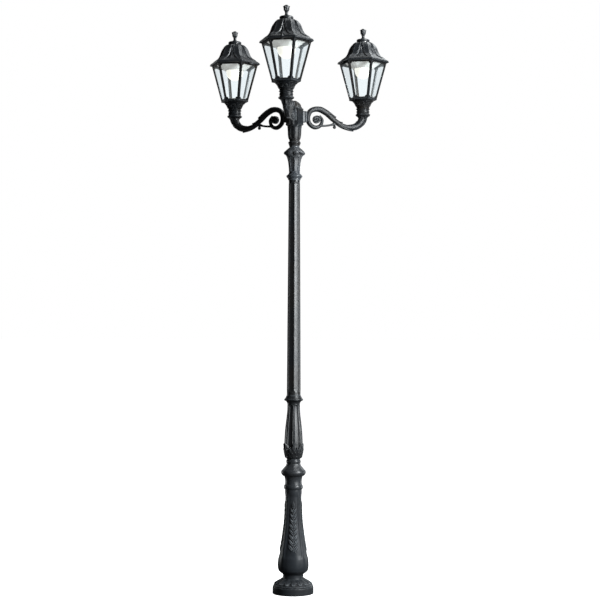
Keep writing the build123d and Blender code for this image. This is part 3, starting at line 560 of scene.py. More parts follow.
# ---------------------------------------------------------------- pedestal
def leaf(u, v, u0, v0, lean, long, half, high):
    """Height of a pointed leaf with a midrib: root at u0, v0, leaning from +v towards +u."""
    c, s = math.cos(lean), math.sin(lean)
    p, q = (u - u0) * s + (v - v0) * c, (u - u0) * c - (v - v0) * s
    t = np.clip(p / long, 0, 1)
    w = half * np.sin(PI * t**0.75) ** 0.85 + 1e-4
    h = np.clip(1 - (q / w) ** 2, 0, 1) ** 0.42 * (0.45 + 0.55 * np.sin(PI * t**0.8))
    h = h * (1 - 0.55 * hill(q, half * 0.20))
    return np.where((p > 0) & (p < long), high * h, 0.0)


def pedestal_section(th, z):
    """Almost round, with a soft corner between the four panels."""
    four = wrap(th - FRONT, PI / 2)
    return 1 + 0.022 * ramp(110, 140, z) * (1 - ramp(548, 566, z)) * (ramp(0.50, 0.78, np.abs(four)) - 0.45)


def pedestal_relief(th, z, r):
    four = wrap(th - FRONT, PI / 2)
    u = four * r
    side = (PI / 4 - np.abs(four)) * r
    panel = ramp(192, 216, z) * (1 - ramp(528, 558, z))
    h = panel * (0.7 * ramp(4.6, 2.4, side) - 0.5 * ramp(4.4, 5.8, side) * ramp(10.5, 7.5, side))
    h = h - panel * 3.0 * ramp(6.0, 14.0, side)
    laurel = np.zeros_like(h)
    stem = 3.6 * np.clip(1 - (u / 2.4) ** 2, 0, 1) ** 0.5 * ramp(234, 240, z) * (1 - ramp(470, 482, z))
    laurel = np.maximum(laurel, stem)
    for k in range(8):
        z0, f = 240 + 29.5 * k, 1 - 0.048 * k
        for way in (-1, 1):
            laurel = np.maximum(laurel, leaf(u, z, way * 1.0, z0, way * math.radians(40 - k), 46 * f, 8.6 * f, 5.2))
            berry = np.hypot(u - way * 5.8 * f, z - z0 - 29) / 3.2
            laurel = np.maximum(laurel, 4.6 * np.sqrt(np.clip(1 - berry**2, 0, 1)))
    laurel = np.maximum(laurel, leaf(u, z, 0, 466, 0.0, 42, 7.6, 4.8))
    for way in (-1, 1):  # tie at the foot of the branch
        laurel = np.maximum(laurel, leaf(u, z, 0, 250, way * math.radians(142), 26, 4.0, 2.6))
    h = h + laurel * panel
    return h


pedestal = Shape().cast(
    turned(
        profile(
            [
                (56.4, 96), (56, 99), (56.4, 103), (59, 107.4), (64, 111.4), (71, 116), (80.4, 125.4), (85.6, 142), (86.4, 159),
                (85, 179), (76.4, 236), (66.6, 291), (58.6, 346), (52, 401), (49, 456), (47.8, 511), (46.8, 552), (45.8, 572),
            ],
            2.1,
        ),
        336,
        pedestal_relief,
        pedestal_section,
        FRONT,
    ),
    [(38, 572), (38, 420), (50, 250), (50, 96)],
)
piece("pedestal_laurel", pedestal, CAST_FOOT_PAINTED_FILL, "post", ["pedestal"], 40, ((94, 106), (560, 574)))


# ---------------------------------------------------------------- pedestal collar
def collar_section(th, z):
    return 1 - 0.45 * ramp(676, 684, z) * (1 - ramp(706, 714, z)) * (1 - eight(th))


collar = Shape().cast(
    turned(
        profile(
            [
                (45.5, 572, 1), (48.8, 573), (51, 577), (51.9, 582), (51.9, 588), (50.6, 593.5), (48.8, 596, 1), (47, 597, 1),
                (46.1, 604), (45.5, 616), (46.6, 628), (48.6, 638), (50, 643, 1), (51.8, 643.6, 1), (56.5, 646), (62, 651),
                (66.4, 657.5), (68, 665), (66.9, 672), (64, 677, 1), (62, 677.6, 1), (56.5, 685), (50, 692.5), (44, 699.5),
                (39.8, 707), (38, 713, 1), (36.6, 714.2, 1), (38.6, 717), (39.8, 721), (39.8, 727), (38.6, 732), (36.6, 735, 1),
                (35.8, 737),
            ],
            1.5,
        ),
        160,
        None,
        collar_section,
        FRONT,
    ),
    [(30, 737), (30, 572)],
)
piece("pedestal_collar_rings", collar, CAST_COLLAR_PAINTED_FILL, "post", ["pedestal_collar"])


# ---------------------------------------------------------------- baluster
def baluster_relief(th, z, r):
    arris = wrap(th - FRONT, PI / 4)
    q = wrap(th - FRONT - PI / 8, PI / 4)
    # eight long flutes with a raised rim and a round head
    u, half = q * r, math.radians(16.0) * r
    head = 1027.0
    dist = np.where(z < head, np.abs(u) - half, np.hypot(u, z - head) - half)
    deep = 0.085 * r * np.sqrt(np.clip(1 - (np.clip(dist + half, 0, None) / half) ** 2, 0, 1))
    on = ramp(770, 790, z)
    h = on * (-deep + 1.0 * hill(dist - 0.8, 1.3) * (z < 1040))
    # acanthus cup: eight leaves on the arrises, eight smaller ones behind them
    cup = np.zeros_like(h)
    for at, tip, wide, high in ((q, 806.0, 19.0, 2.4), (arris, 824.0, 21.5, 4.2)):
        t = np.clip((z - 742) / (tip - 742), 0, 1.0)
        lobe = 1.5 * np.abs(np.sin(PI * (z - 742) / 15.0))
        w = np.maximum((wide * (1 - t**2.4) * (0.80 + 0.20 * t)) + lobe * (1 - t) ** 0.4 * (t < 1), 0.01)
        a = np.abs(np.degrees(at))
        edge = (w - a) * np.radians(1.0) * r
        body = ramp(0.0, 1.4, edge)
        vein = 0.9 * np.sin(2 * PI * ((z - 742) / 15.0 - a / 13.0)) * ramp(2.0, 6.0, a)
        rib = 1.3 * hill(a, 2.0)
        curl = 1.8 * ramp(0.72, 1.0, t)
        cup = np.maximum(cup, body * (high + 0.55 * vein + rib + curl) * (t < 1))
    for row, (low, tip) in enumerate(((741.0, 757.0), (749.0, 777.0), (768.0, 797.0))):
        at = wrap(th - FRONT - (row % 2) * PI / 16, PI / 8)
        t = np.clip((z - low) / (tip - low), 0, 1.0)
        w = 10.6 * np.sqrt(np.clip(1 - t**2.2, 0, 1)) + 0.01
        body = ramp(0.0, 1.2, (w - np.abs(np.degrees(at))) * np.radians(1.0) * r) * (t < 1) * (t > 0)
        cup = np.maximum(cup, body * (2.6 + 1.1 * row + 3.4 * t**2 - 0.8 * hill(np.degrees(at), 1.2)))
    cup = cup * ramp(741, 748, z)
    return np.where(cup > 0.05, np.maximum(h, 0) * 0 + cup, h)


baluster = Shape().cast(
    turned(
        profile(
            [
                (35.8, 737), (38.6, 741), (41.5, 748), (45.5, 764), (48.8, 781), (49.6, 797), (49.6, 812), (50, 826), (49.7, 836),
                (48, 868), (46.2, 896), (43.5, 923), (40, 951), (37, 978), (34.3, 1006), (33.8, 1024), (34.2, 1036), (35.6, 1045),
                (38.6, 1051.5), (43, 1056), (47.6, 1058.4, 1), (50.8, 1060), (52.4, 1063), (52.2, 1066.4), (50.4, 1069, 1),
                (48.6, 1069.8, 1), (46, 1074), (43, 1079), (41.4, 1083.6, 1), (39.5, 1085), (39.5, 1088),
            ],
            1.6,
        ),
        320,
        baluster_relief,
        None,
        FRONT,
    ),
    [(30, 1088), (28, 1000), (28, 760), (30, 737)],
)
piece("baluster_acanthus", baluster, CAST, "post", ["baluster"], 40)


# ---------------------------------------------------------------- shaft
def shaft_relief(th, z, r):
    q = np.abs(wrap(th - FRONT - PI / 8, PI / 4))
    size = 38.0 + (30.4 - 38.0) * (z - 1088) / (2272 - 1088)
    wide = math.radians(20.6)
    arc = size * wide
    low, high = 1104.0, 2258.0
    near = np.where(z < low + arc * 1.5, (low + arc * 1.5 - z) / 1.5, np.where(z > high - arc * 1.5, (z - high + arc * 1.5) / 1.5, 0.0))
    side = np.hypot(q * size, near) / arc
    bowl = np.sqrt(np.clip(1 - np.clip(side, 0, 1) ** 2, 0, 1))
    deep = 0.070 * size + 0.7
    land = 0.35 * hill((side - 1.0) * arc, 1.1)
    return -deep * (0.35 * bowl + 0.65 * np.clip(1 - side**2, 0, 1)) + land


rows = np.unique(
    np.concatenate([np.linspace(1088, 1140, 34), np.linspace(1140, 2222, 100), np.linspace(2222, 2272, 34)]).round(3)
)
line = np.stack([38.0 + (30.4 - 38.0) * (rows - 1088) / (2272 - 1088), rows], -1)
shaft = Shape().cast(turned(line, 256, shaft_relief, None, FRONT), [(26, 2272), (26, 1088)])
piece("shaft_fluted", shaft, CAST_SHAFT, "post", ["shaft"], 40)


# ---------------------------------------------------------------- capital
CAP_AT = FRONT + math.radians(11.0)  # bearing of a leaf of the capital


def capital_relief(th, z, r):
    q = wrap(th - FRONT - PI / 8, PI / 4)
    u, half = q * r, 0.345 * r
    low, high = 2326.0, 2384.0
    dist = np.hypot(u, np.clip(low - z, 0, None) + np.clip(z - high, 0, None)) - half
    deep = 3.4 * np.sqrt(np.clip(1 - (np.clip(dist + half, 0, None) / half) ** 2, 0, 1))
    h = -deep + 0.5 * hill(dist - 0.5, 0.9)
    h = h * ramp(2306, 2312, z) * (1 - ramp(2398, 2404, z))
    # curled leaf edge: lobes on the arrises, a midrib and a notch between
    arris = wrap(th - CAP_AT, PI / 4)
    lobe = 0.5 - 0.5 * np.cos(8 * (th - CAP_AT))
    edge = ramp(2396, 2412, z) * (1 - ramp(2419, 2429, z))
    h = h - edge * (6.4 * lobe**1.4 + 2.4 * hill(PI / 8 - np.abs(arris), 0.05))
    h = h + 1.3 * hill(np.abs(arris) * r, 1.8) * ramp(2388, 2404, z) * (1 - ramp(2415, 2421, z))
    h = h + 0.9 * hill(np.abs(arris) * r - 8.5, 1.6) * ramp(2392, 2406, z) * (1 - ramp(2414, 2420, z))
    return h


def capital_section(th, z):
    return 1 - 0.9 * ramp(2426, 2432, z) * (1 - ramp(2446, 2451, z)) * (1 - eight(th))


capital = Shape().cast(
    turned(
        profile(
            [
                (34.5, 2272, 1), (34.8, 2276), (35, 2280, 1), (37.6, 2281), (40.4, 2284), (41.4, 2287, 1), (43.2, 2288), (44, 2290.5),
                (44, 2293.5), (43, 2296, 1), (39.8, 2297.5), (37, 2301, 1), (33.4, 2303.5), (30.9, 2309), (30, 2318), (30.4, 2332),
                (31.6, 2348), (33.6, 2366), (36.5, 2381), (40, 2393), (44, 2402), (49, 2408), (54.5, 2411.5), (58, 2414.5),
                (59, 2418.5), (58, 2423), (55, 2427), (49.5, 2432), (41, 2440), (33, 2446.5), (29, 2449.5, 1), (27.5, 2451), (27.5, 2456),
            ],
            1.5,
        ),
        320,
        capital_relief,
        capital_section,
        FRONT,
    ),
    [(25.5, 2456), (25.5, 2272)],
)
piece("capital_leaf_edge", capital, CAST_CAPITAL_PAINTED_LIGHT, "post", ["capital"], 40)


# ---------------------------------------------------------------- hub
def foot_relief(th, z, r):
    q = wrap(th - FRONT - PI / 8, PI / 4)
    u, half = q * r, 0.285 * r
    low, high = 2504.0, 2556.0
    dist = np.hypot(u, np.clip(low - z, 0, None) + np.clip(z - high, 0, None)) - half
    deep = 2.8 * np.sqrt(np.clip(1 - (np.clip(dist + half, 0, None) / half) ** 2, 0, 1))
    return (-deep + 0.7 * hill(dist - 0.8, 1.1)) * ramp(2490, 2496, z)


def body_relief(th, z, r):
    k = np.round((th - PI / 6) / (PI / 3)).astype(int)
    b = wrap(th - PI / 6, PI / 3)
    bare = (k % 2) == 1  # the three flats that carry no arm
    x = np.tan(b) * 41.0
    inside = np.minimum(17.5 - np.abs(x), np.minimum(z - 2588.0, 2652.0 - z))
    h = -0.5 * ramp(0.0, 1.2, inside)
    return np.where(bare, h, 0.0)


hub = Shape()
hub.cast(
    turned(
        profile(
            [
                (27.5, 2456), (28.8, 2458.5), (30.2, 2463), (31.8, 2468), (33, 2471.5, 1), (34, 2473.4), (34.5, 2476.5), (33.8, 2479.6), (32, 2481.4, 1), (30.2, 2481.6, 1),
                (28.6, 2485), (28.4, 2489), (31, 2496), (34.6, 2508), (36, 2520), (36.8, 2534), (37.6, 2550), (38.8, 2562),
                (40.2, 2570), (40.8, 2578),
            ],
            1.6,
        ),
        256,
        foot_relief,
        None,
        FRONT,
    ),
    [(33, 2578), (26, 2540), (26, 2456)],
)
hub.cast(
    turned(
        profile(
            [
                (40, 2570, 1), (45.5, 2572), (49, 2575.5), (49, 2580, 1), (48, 2582, 1), (48, 2600), (48, 2640), (48, 2656, 1),
                (49, 2658, 1), (49, 2662), (47.5, 2664, 1), (40, 2664.6),
            ],
            2.0,
        ),
        240,
        body_relief,
        lambda th, z: six(th),
    ),
    [(34, 2664), (34, 2610), (30, 2570)],
)
piece("arm_hub_faceted", hub, CAST_HUB, "post", ["arm_hub"])


def dome_relief(th, z, r):
    rib = 0.5 - 0.5 * np.cos(12 * th)
    return -1.7 * rib**3 * ramp(2674, 2679, z) * (1 - ramp(2699, 2704, z)) + 0 * r


dome = Shape().rings(
    turned(
        profile(
            [
                (33, 2662, 1), (33, 2664, 1), (40.5, 2664.2), (41.5, 2666), (41.5, 2669), (40, 2671, 1), (36.6, 2672, 1), (36.4, 2676),
                (35.4, 2681), (32.6, 2687), (27, 2694), (19, 2700.5), (13, 2703.2, 1), (13, 2704.8), (11, 2706.4), (6, 2707),
                (0.6, 2707),
            ],
            1.5,
        ),
        192,
        dome_relief,
    )
)
piece("hub_dome_melon", dome, CAST_HUB, "post", ["hub_dome"])


# ---------------------------------------------------------------- arms
def arm_shape():
    s = Shape()
    line = through(ARM_LINE, 1.8)
    run = np.concatenate([[0], np.cumsum(np.linalg.norm(np.diff(line, axis=0), axis=1))])
    share = run / run[-1]
    radius = np.interp(share, *zip(*ARM_RADII))
    for _ in range(30):
        radius[1:-1] = 0.5 * radius[1:-1] + 0.25 * (radius[:-2] + radius[2:])

    def where(d, z):
        return run[np.argmin(np.hypot(line[:, 0] - d, line[:, 1] - z))]

    def section(psi):
        e = 2.5
        return 0.94 / (np.abs(np.cos(psi)) ** e + np.abs(np.sin(psi)) ** e) ** (1 / e)

    def sheath(psi, at, s0, s1, top, wide, lift):
        """A leaf that lies along the bar from s0 and ends in a lifted tip at s1."""
        t = np.clip((at - s0) / (s1 - s0), 0, 1)
        a = np.abs(wrap(psi - top, 2 * PI))
        w = math.radians(wide) * np.sqrt(np.clip(np.sin(PI * np.clip(0.12 + 0.88 * t, 0, 1)), 0, 1)) * (1 - 0.45 * t)
        on = ramp(0.0, 0.14, w - a) * (at > s0) * (at <= s1 + 2.0)
        fall = ramp(s1 + 2.5, s1, at)
        return on * fall * (1.4 + lift * t**3 + 0.9 * hill(a, 0.10) - 0.5 * np.sin(9 * a) ** 2 * (1 - t))

    leaves = [
        (where(150, 2670), where(243, 2614), 0.0, 62, 11.0),
        (where(243, 2614), where(288, 2589), 0.0, 60, 8.0),
        (where(262, 2601), where(358, 2584), PI, 66, 6.5),
        (where(352, 2583), where(411, 2624), PI, 60, 7.0),
        (where(90, 2588), where(120, 2569), 0.0, 50, 2.0),
        (where(330, 2581), where(398, 2607), 0.0, 52, 3.0),
    ]

    def relief(psi, at, rad):
        h = np.zeros_like(psi + at)
        for k in (-1, 1):
            for c in (66, 90, 114):
                h = h - 0.125 * rad * hill(wrap(psi - k * math.radians(c), 2 * PI), 0.11)
            for c in (78, 102):
                h = h + 0.05 * rad * hill(wrap(psi - k * math.radians(c), 2 * PI), 0.10)
        for item in leaves:
            h = np.maximum(h, sheath(psi, at, *item) + 0 * h) if item[4] > 0 else h
        return h

    s.sweep(line, radius, 72, section, relief)

    # volute eye: a spiral ridge on both faces, a raised rim and a boss
    n = 96
    al = (np.arange(n) * 2 * PI / n)[None, :]
    rho = np.concatenate([np.linspace(0.5, 20.2, 26), [21.1, 21.5]])[:, None]
    turn = ((al - math.radians(51)) % (2 * PI)) / (2 * PI)
    ridge = hill(rho - (20.0 - 11.4 * turn), 1.8)
    face = 5.6 + 4.6 * ridge + 4.4 * np.sqrt(np.clip(1 - (rho / 7.0) ** 2, 0, 1)) + 3.8 * ramp(18.0, 19.6, rho) * ramp(22.0, 20.9, rho)
    face[-1] = 8.0
    one = np.stack([face, -(133 + rho * np.cos(al)), 2613 + rho * np.sin(al)], -1)
    two = one[::-1].copy()
    two[..., 0] *= -1
    s.rings(np.vstack([one, two]))

    # flange block on the hub
    rows = []
    for d, inset in ((43.1, 1.2), (44.3, 0), (54, 0), (55.5, 1.8), (57.5, 1.8), (59, 0.6), (66, 0.8), (69.5, 2.2), (72.5, 5), (74, 9)):
        ring = []
        w, h, rr = 16 - inset, 31 - inset, 4.0
        for cx, cz, a0 in ((w - rr, h - rr, 0), (-w + rr, h - rr, PI / 2), (-w + rr, -h + rr, PI), (w - rr, -h + rr, 1.5 * PI)):
            for t in np.linspace(a0, a0 + PI / 2, 7):
                ring.append((cx + rr * math.cos(t), -d, 2623 + cz + rr * math.sin(t)))
        rows.append(ring)
    s.rings(np.array(rows))

    # thin strut below the scroll and the drop that hangs from the arm
    strut = through([(156, 2581), (174, 2580.5), (200, 2583.5), (222, 2588), (243, 2596)], 2.0)
    s.sweep(strut, np.interp(np.linspace(0, 1, len(strut)), [0, 0.3, 0.7, 1], [7.5, 5.6, 5.6, 8.0]), 24)
    drop = turned(
        profile([(0.4, 2567.4), (3, 2568), (6.6, 2570.4), (9.0, 2575), (8.6, 2580), (6, 2584.4, 1), (7, 2586), (7, 2588), (5.6, 2590, 1), (6.2, 2596), (8, 2606)], 1.0),
        40,
    )
    drop[..., 1] -= 243
    s.rings(drop)

    # leafed calyx that carries the lantern
    def calyx(th, z, r):
        q = wrap(th + PI / 2, PI / 4)
        ridge = 1.5 * hill(np.abs(q) * r, 1.7) - 1.9 * np.clip(1 - ((PI / 8 - np.abs(q)) * r / 7.5) ** 2, 0, 1) ** 0.7
        point = 2.2 * np.cos(8 * (th + PI / 2)) * hill(z - 2655.5, 4.0)
        return ridge * ramp(2618, 2628, z) * (1 - ramp(2644, 2649, z)) + 0.45 * point

    cal = turned(
        profile(
            [
                (16, 2612), (20.5, 2622), (23, 2631), (24.6, 2637.5), (27.2, 2642.5), (31.5, 2646.5), (36.4, 2649.5), (40, 2652),
                (41.2, 2655.5), (40.2, 2659), (37.4, 2661, 1), (35.2, 2662.6), (34.4, 2665.5, 1), (35.4, 2667), (36.2, 2671), (36.2, 2676),
                (35.2, 2678.6, 1), (34, 2679.6, 1), (34, 2684.6), (33.4, 2686, 1), (30, 2686, 1), (30, 2690),
            ],
            1.3,
        ),
        192,
        calyx,
    )
    cal[..., 1] -= REACH
    s.rings(cal)
    return s


ARM = arm_shape()
for side, turn in TURNS.items():
    piece(f"arm_{side}_scroll", ARM.moved(turn), CAST_ARM, "post", [f"arm_{side}"], 42)


# ---------------------------------------------------------------- lantern pieces, made once at the front arm
def cup_relief(th, z, r):
    b = wrap(th + PI / 2, PI / 3)
    u, half = b * r, 0.30 * r
    head = 2713.5
    dist = np.where(z < head, np.abs(u) - half, np.hypot(u, (z - head) * 1.35) - half)
    dist = np.maximum(dist, (2703.5 - z))
    h = 1.5 * hill(dist - 0.6, 1.1) - 0.9 * hill(dist + 2.2, 0.9) + 0.9 * hill(dist + 3.9, 0.9) - 1.3 * ramp(-5.0, -6.4, dist)
    a = np.abs(wrap(th, PI / 3)) * r
    tri = ramp(0, 1.6, (z - 2706) * 0.38 - a) * ramp(2728, 2725.4, z)
    h = h + tri * (1.5 + 0.8 * hill(a, 0.9))
    return h * ramp(2701, 2704, z) * (1 - ramp(2726.6, 2728.4, z))


def cup_shape():
    rows = turned(
        profile(
            [
                (33.2, 2686, 1), (36.6, 2686.3), (38.2, 2688), (37.8, 2690.2), (36, 2691.6, 1), (35.4, 2693), (35.6, 2697), (36.4, 2699.6, 1),
                (37.8, 2700.4, 1), (39.2, 2703), (41.2, 2708.4), (43.6, 2714.4), (46.6, 2720.4), (50.2, 2725), (53.4, 2727.8, 1),
                (56.6, 2728.8), (58, 2730.6), (57.8, 2732.4, 1), (60, 2733.2), (63, 2735.8), (65, 2738.2),
            ],
            1.1,
        ),
        264,
        cup_relief,
    )
    return Shape().cast(rows, [(54, 2738.2), (33.2, 2704)]).shift(y=-REACH)


FACE_LONG = math.hypot((TOP_R - FOOT_R) * math.cos(PI / 6), CAGE_TOP - CAGE_FOOT)


def cage_face(s, turn):
    """One of the six sides: a mitred frame with a moulding, a step, lobed window corners and a grained panel at its foot."""
    long = FACE_LONG
    v1, v2, lobe, post = 12.0, long - 9.6, 8.5, 11.2

    def a(v):
        return FOOT_R / 2 + (TOP_R - FOOT_R) / 2 * v / long

    lean_y, lean_z = (TOP_R - FOOT_R) * math.cos(PI / 6) / long, (CAGE_TOP - CAGE_FOOT) / long

    def at(x, v, h):
        p = np.stack([x, -(FOOT_R * math.cos(PI / 6) + v * lean_y) - h * lean_z, CAGE_FOOT + v * lean_z - h * lean_y], -1)
        return rotate(p, turn)

    win, tag = [], []  # window points, and the side and share of each on the frame's outline
    n_low, n_arc, n_up = 18, 12, 30
    lim = 0.86
    for side in range(4):
        if side in (0, 2):
            v = v1 if side == 0 else v2
            half = a(v) - post - lobe
            way = 1 if side == 0 else -1
            for f in np.linspace(-1, 1, n_low):
                win.append((way * f * half, v))
                tag.append((side, f * lim))
        else:
            way = 1 if side == 1 else -1
            for g in np.linspace(0, 1, n_up):
                v = v1 + lobe + g * (v2 - v1 - 2 * lobe)
                v = v if side == 1 else v1 + v2 - v
                win.append((way * (a(v) - post), v))
                tag.append((side, 0.04 + 0.92 * g))
        # lobe at the corner after this side
        v = v1 if side in (3, 0) else v2
        cx = (a(v) - post) * (1 if side in (0, 1) else -1)
        start = {0: PI, 1: 1.5 * PI, 2: 0.0, 3: PI / 2}[side]
        arc = np.linspace(start, start - PI / 2, n_arc + 2)[1:-1]
        for k, t in enumerate(arc):
            win.append((cx + lobe * math.cos(t), v + lobe * math.sin(t)))
            f = (k + 0.5) / n_arc
            if f < 0.5:
                tag.append((side, lim + (1 - lim) * 2 * f if side in (0, 2) else 0.96 + 0.04 * 2 * f))
            else:
                g = 2 * f - 1
                tag.append(((side + 1) % 4, 0.04 * g if side in (0, 2) else -1 + (1 - lim) * g))
    win = np.array(win)

    def outline(e, low=None):
        lo = e if low is None else low
        out = []
        for side, f in tag:
            if side == 0:
                out.append((f * (a(lo) - e), lo))
            elif side == 2:
                out.append((-f * (a(long - lo) - e), long - lo))
            else:
                v = lo + f * (long - 2 * lo)
                v = v if side == 1 else long - v
                out.append(((1 if side == 1 else -1) * (a(v) - e), v))
        return np.array(out)

    def toward(o, k):
        return o + (win - o) * k

    mould = outline(5.6)
    rings = [
        (outline(0.35), -1.1), (outline(1.3), 0.0), (outline(4.2), 0.0), (outline(5.0), -0.5), (mould, -1.7), (toward(mould, 0.80), -1.7),
        (toward(mould, 0.93), -1.3), (win, -2.4), (win, -5.6), (outline(3.46, 0.4), -6.0), (outline(1.2, 0.2), -3.2),
    ]
    s.rings(np.array([at(o[:, 0], o[:, 1], np.full(len(o), h)) for o, h in rings]), loop=True)

    # grained panel in the foot rail
    nx, nv = 34, 6
    x = np.linspace(-1, 1, nx)[None, :]
    v = np.linspace(5.9, 11.0, nv)[:, None]
    xx = x * (a(v) - 8.0)
    vv = v + 0 * x
    rough = -1.15 + 0.75 * speckle(xx * 0.91, vv * 1.37) * (np.abs(x) < 0.985) * ((v > 6.1) & (v < 10.8))
    top = at(xx, vv, rough)
    low = at(xx, vv, np.full_like(xx, -3.0))
    rim = [(0, j) for j in range(nx)] + [(i, nx - 1) for i in range(1, nv)] + [(nv - 1, j) for j in range(nx - 2, -1, -1)] + [(i, 0) for i in range(nv - 2, 0, -1)]
    idx = np.arange(nx * nv).reshape(nv, nx)
    quads = np.stack([idx[:-1, :-1], idx[:-1, 1:], idx[1:, 1:], idx[1:, :-1]], -1).reshape(-1, 4)
    off = nx * nv
    wall = [(idx[p], idx[p] + off, idx[q] + off, idx[q]) for p, q in zip(rim, rim[1:] + rim[:1])]
    s._shell(np.vstack([top.reshape(-1, 3), low.reshape(-1, 3)]), np.vstack([quads, (quads + off)[:, ::-1], np.array(wall)]), [])


def barrel(s, x0, x1, y, z, outer, inner, n=40):
    """A hinge knuckle along x."""
    t = np.arange(n) * 2 * PI / n
    rows = []
    for x, r in ((x0, inner), (x0, outer - 0.5), (x0 + 0.5, outer), (x1 - 0.5, outer), (x1, outer - 0.5), (x1, inner)):
        rows.append(np.stack([np.full(n, x), y + r * np.cos(t), z + r * np.sin(t)], -1))
    s.rings(np.array(rows), loop=True)


def cage_shape():
    s = Shape()
    for k in range(6):
        cage_face(s, k * PI / 3)
    th = np.arange(240) * 2 * PI / 240

    def hexring(r, z):
        k = six(th) * r
        return np.stack([k * np.cos(th), k * np.sin(th), np.full(len(th), z)], -1)

    def ring(r, z):
        return np.stack([r * np.cos(th), r * np.sin(th), np.full(len(th), z)], -1)

    # floor with the bead round its edge
    s.rings(
        np.array(
            [ring(14, 2744), ring(14, 2738.4), ring(58, 2738.4), hexring(72, 2738.2), hexring(76.2, 2737.4), hexring(78.2, 2738.6), hexring(78.9, 2740.6),
             hexring(78.6, 2742.6), hexring(77.4, 2744.2), hexring(72, 2745), ring(56, 2744)]
        ),
        loop=True,
    )
    # lug for the thumb screw on the outward side, hinge knuckles on the post side
    t = np.arange(64) * 2 * PI / 64
    reach = np.minimum(7.0 / np.maximum(np.abs(np.cos(t)), 1e-6), 7.0 / np.maximum(np.abs(np.sin(t)), 1e-6))
    reach = np.minimum(reach, 8.9)
    rows = [(3.2, 2936.0), (reach - 1.0, 2936.0), (reach, 2937.0), (reach, 2943.4), (reach - 1.0, 2944.4), (3.2, 2944.4)]
    s.rings(np.array([np.stack([r * np.cos(t), r * np.sin(t) - 119.0, np.full(64, z)], -1) for r, z in rows]), loop=True)
    for x0, x1 in ((-18, -7.4), (7.4, 18)):
        barrel(s, x0, x1, 131.5, 2942, 4.5, 2.05)
        s.box((x0, 113.5, 2937.4), (x1, 129.5, 2943.4), 1.0)
    return s.shift(y=-REACH)


def roof_shape():
    s = Shape()

    def station(z):
        return np.clip((3058.0 - z) / (3058.0 - 2967.0), 0, 1.0)

    def relief(th, z, r):
        a = np.abs(wrap(th, PI / 3))
        b = wrap(th - PI / 6, PI / 3)
        t = station(z)
        size = r * np.cos(np.clip(b, -PI / 6, PI / 6))
        x = np.abs(np.tan(b)) * size  # from the middle of the side
        petal = np.tan(np.radians(30.0 - np.interp(t, [0, 0.25, 0.5, 0.75, 0.9, 1.0], [28.2, 26.3, 23.2, 18.6, 14.8, 11.0]))) * size
        dist = petal - x  # above 0 between the petals
        on = ramp(2964.5, 2969, z) * (1 - ramp(3056.5, 3060, z))
        h = 2.6 * ramp(0.9, -1.2, dist) + 1.7 * hill(dist + 2.4, 1.25) - 0.9 * hill(dist + 4.6, 0.9) + 1.2 * hill(dist + 6.6, 1.2) - 1.0 * hill(dist - 1.7, 1.1)
        half = np.maximum(np.tan(np.radians(np.interp(t, [0, 0.14, 0.5, 1.0], [0.0, 0.6, 4.6, 11.5]))) * size, 0.4)
        spear = np.clip(1 - x / half, 0, 1)
        h = h + (t > 0.1) * (1.9 * spear**0.6 + 1.1 * hill(x, 1.0) * (spear > 0))
        vein = np.sin(2 * PI * (x * 0.16 + t * 7.0)) * (spear > 0.08) * (x > 1.6) * ramp(0.45, 0.7, t)
        h = (h + 0.35 * vein) * on
        # a faint crease down the corner of each petal
        h = h + 0.8 * hill(a * r, 1.6) * on
        # carved band above the lip
        run = np.tan(b) * size
        band = ramp(2958.6, 2960, z) * (1 - ramp(2965.0, 2967.0, z))
        leafy = np.abs(np.sin(PI * (run / 11.0 + (z - 2959) / 16.0 * np.sign(run + 1e-6))))
        h = h + band * (2.3 * leafy**0.7 - 0.4 + 0.5 * np.sin(2 * PI * run / 3.7))
        return h

    def section(th, z):
        k = six(th)
        return 1 - (1 - 0.55 * ramp(3010, 3060, z)) * (1 - k)

    outer = turned(
        profile(
            [
                (128, 2945.3, 1), (143.2, 2945.3), (145.6, 2946.4), (146, 2948), (146, 2950.6, 1), (143.4, 2951.6, 1), (143.2, 2955.4),
                (141.6, 2957.2, 1), (136, 2959), (128.5, 2963), (120, 2968.6), (110.5, 2974.4), (102, 2980), (95.5, 2986), (90.5, 2993),
                (86.2, 3001), (81.6, 3012), (77.6, 3023), (72.2, 3034), (65, 3044), (57, 3051.6), (49, 3057), (42, 3060, 1), (34, 3060.4, 1),
                (27, 3060.4, 1), (27, 3070),
            ],
            1.7,
        ),
        324,
        relief,
        section,
    )
    th = np.arctan2(outer[0, :, 1], outer[0, :, 0])
    inner = []
    for r, z, k in ((23, 3070, 0), (23, 3054, 0), (44, 3050, 0.5), (58, 3040, 0.8), (73, 3016, 1), (82, 2994, 1), (96, 2978, 1), (113, 2966.5, 1), (122, 2960, 1), (126, 2957, 1), (128, 2953, 1)):
        rad = r * (1 - k * (1 - six(th)))
        inner.append(np.stack([rad * np.cos(th), rad * np.sin(th), np.full(len(th), float(z))], -1))
    s.rings(np.vstack([outer, np.array(inner)]), loop=True)
    # boss under the thumb screw and the hinge knuckle
    boss = turned(profile([(3.0, 2951, 1), (8.4, 2951.5), (8.2, 2958), (7.3, 2960.6), (6.6, 2961.7, 1), (3.0, 2961.7)], 1.0), 48)
    boss[..., 1] -= 119
    s.rings(np.vstack([boss]), loop=True)
    barrel(s, -7, 7, 131.5, 2942, 4.5, 2.15)
    s.box((-7, 121, 2945.4), (7, 134.5, 2949.4), 0.9)
    s.box((-7, 131.6, 2942.5), (7, 135.9, 2948.4), 0.8)
    return s.shift(y=-REACH)


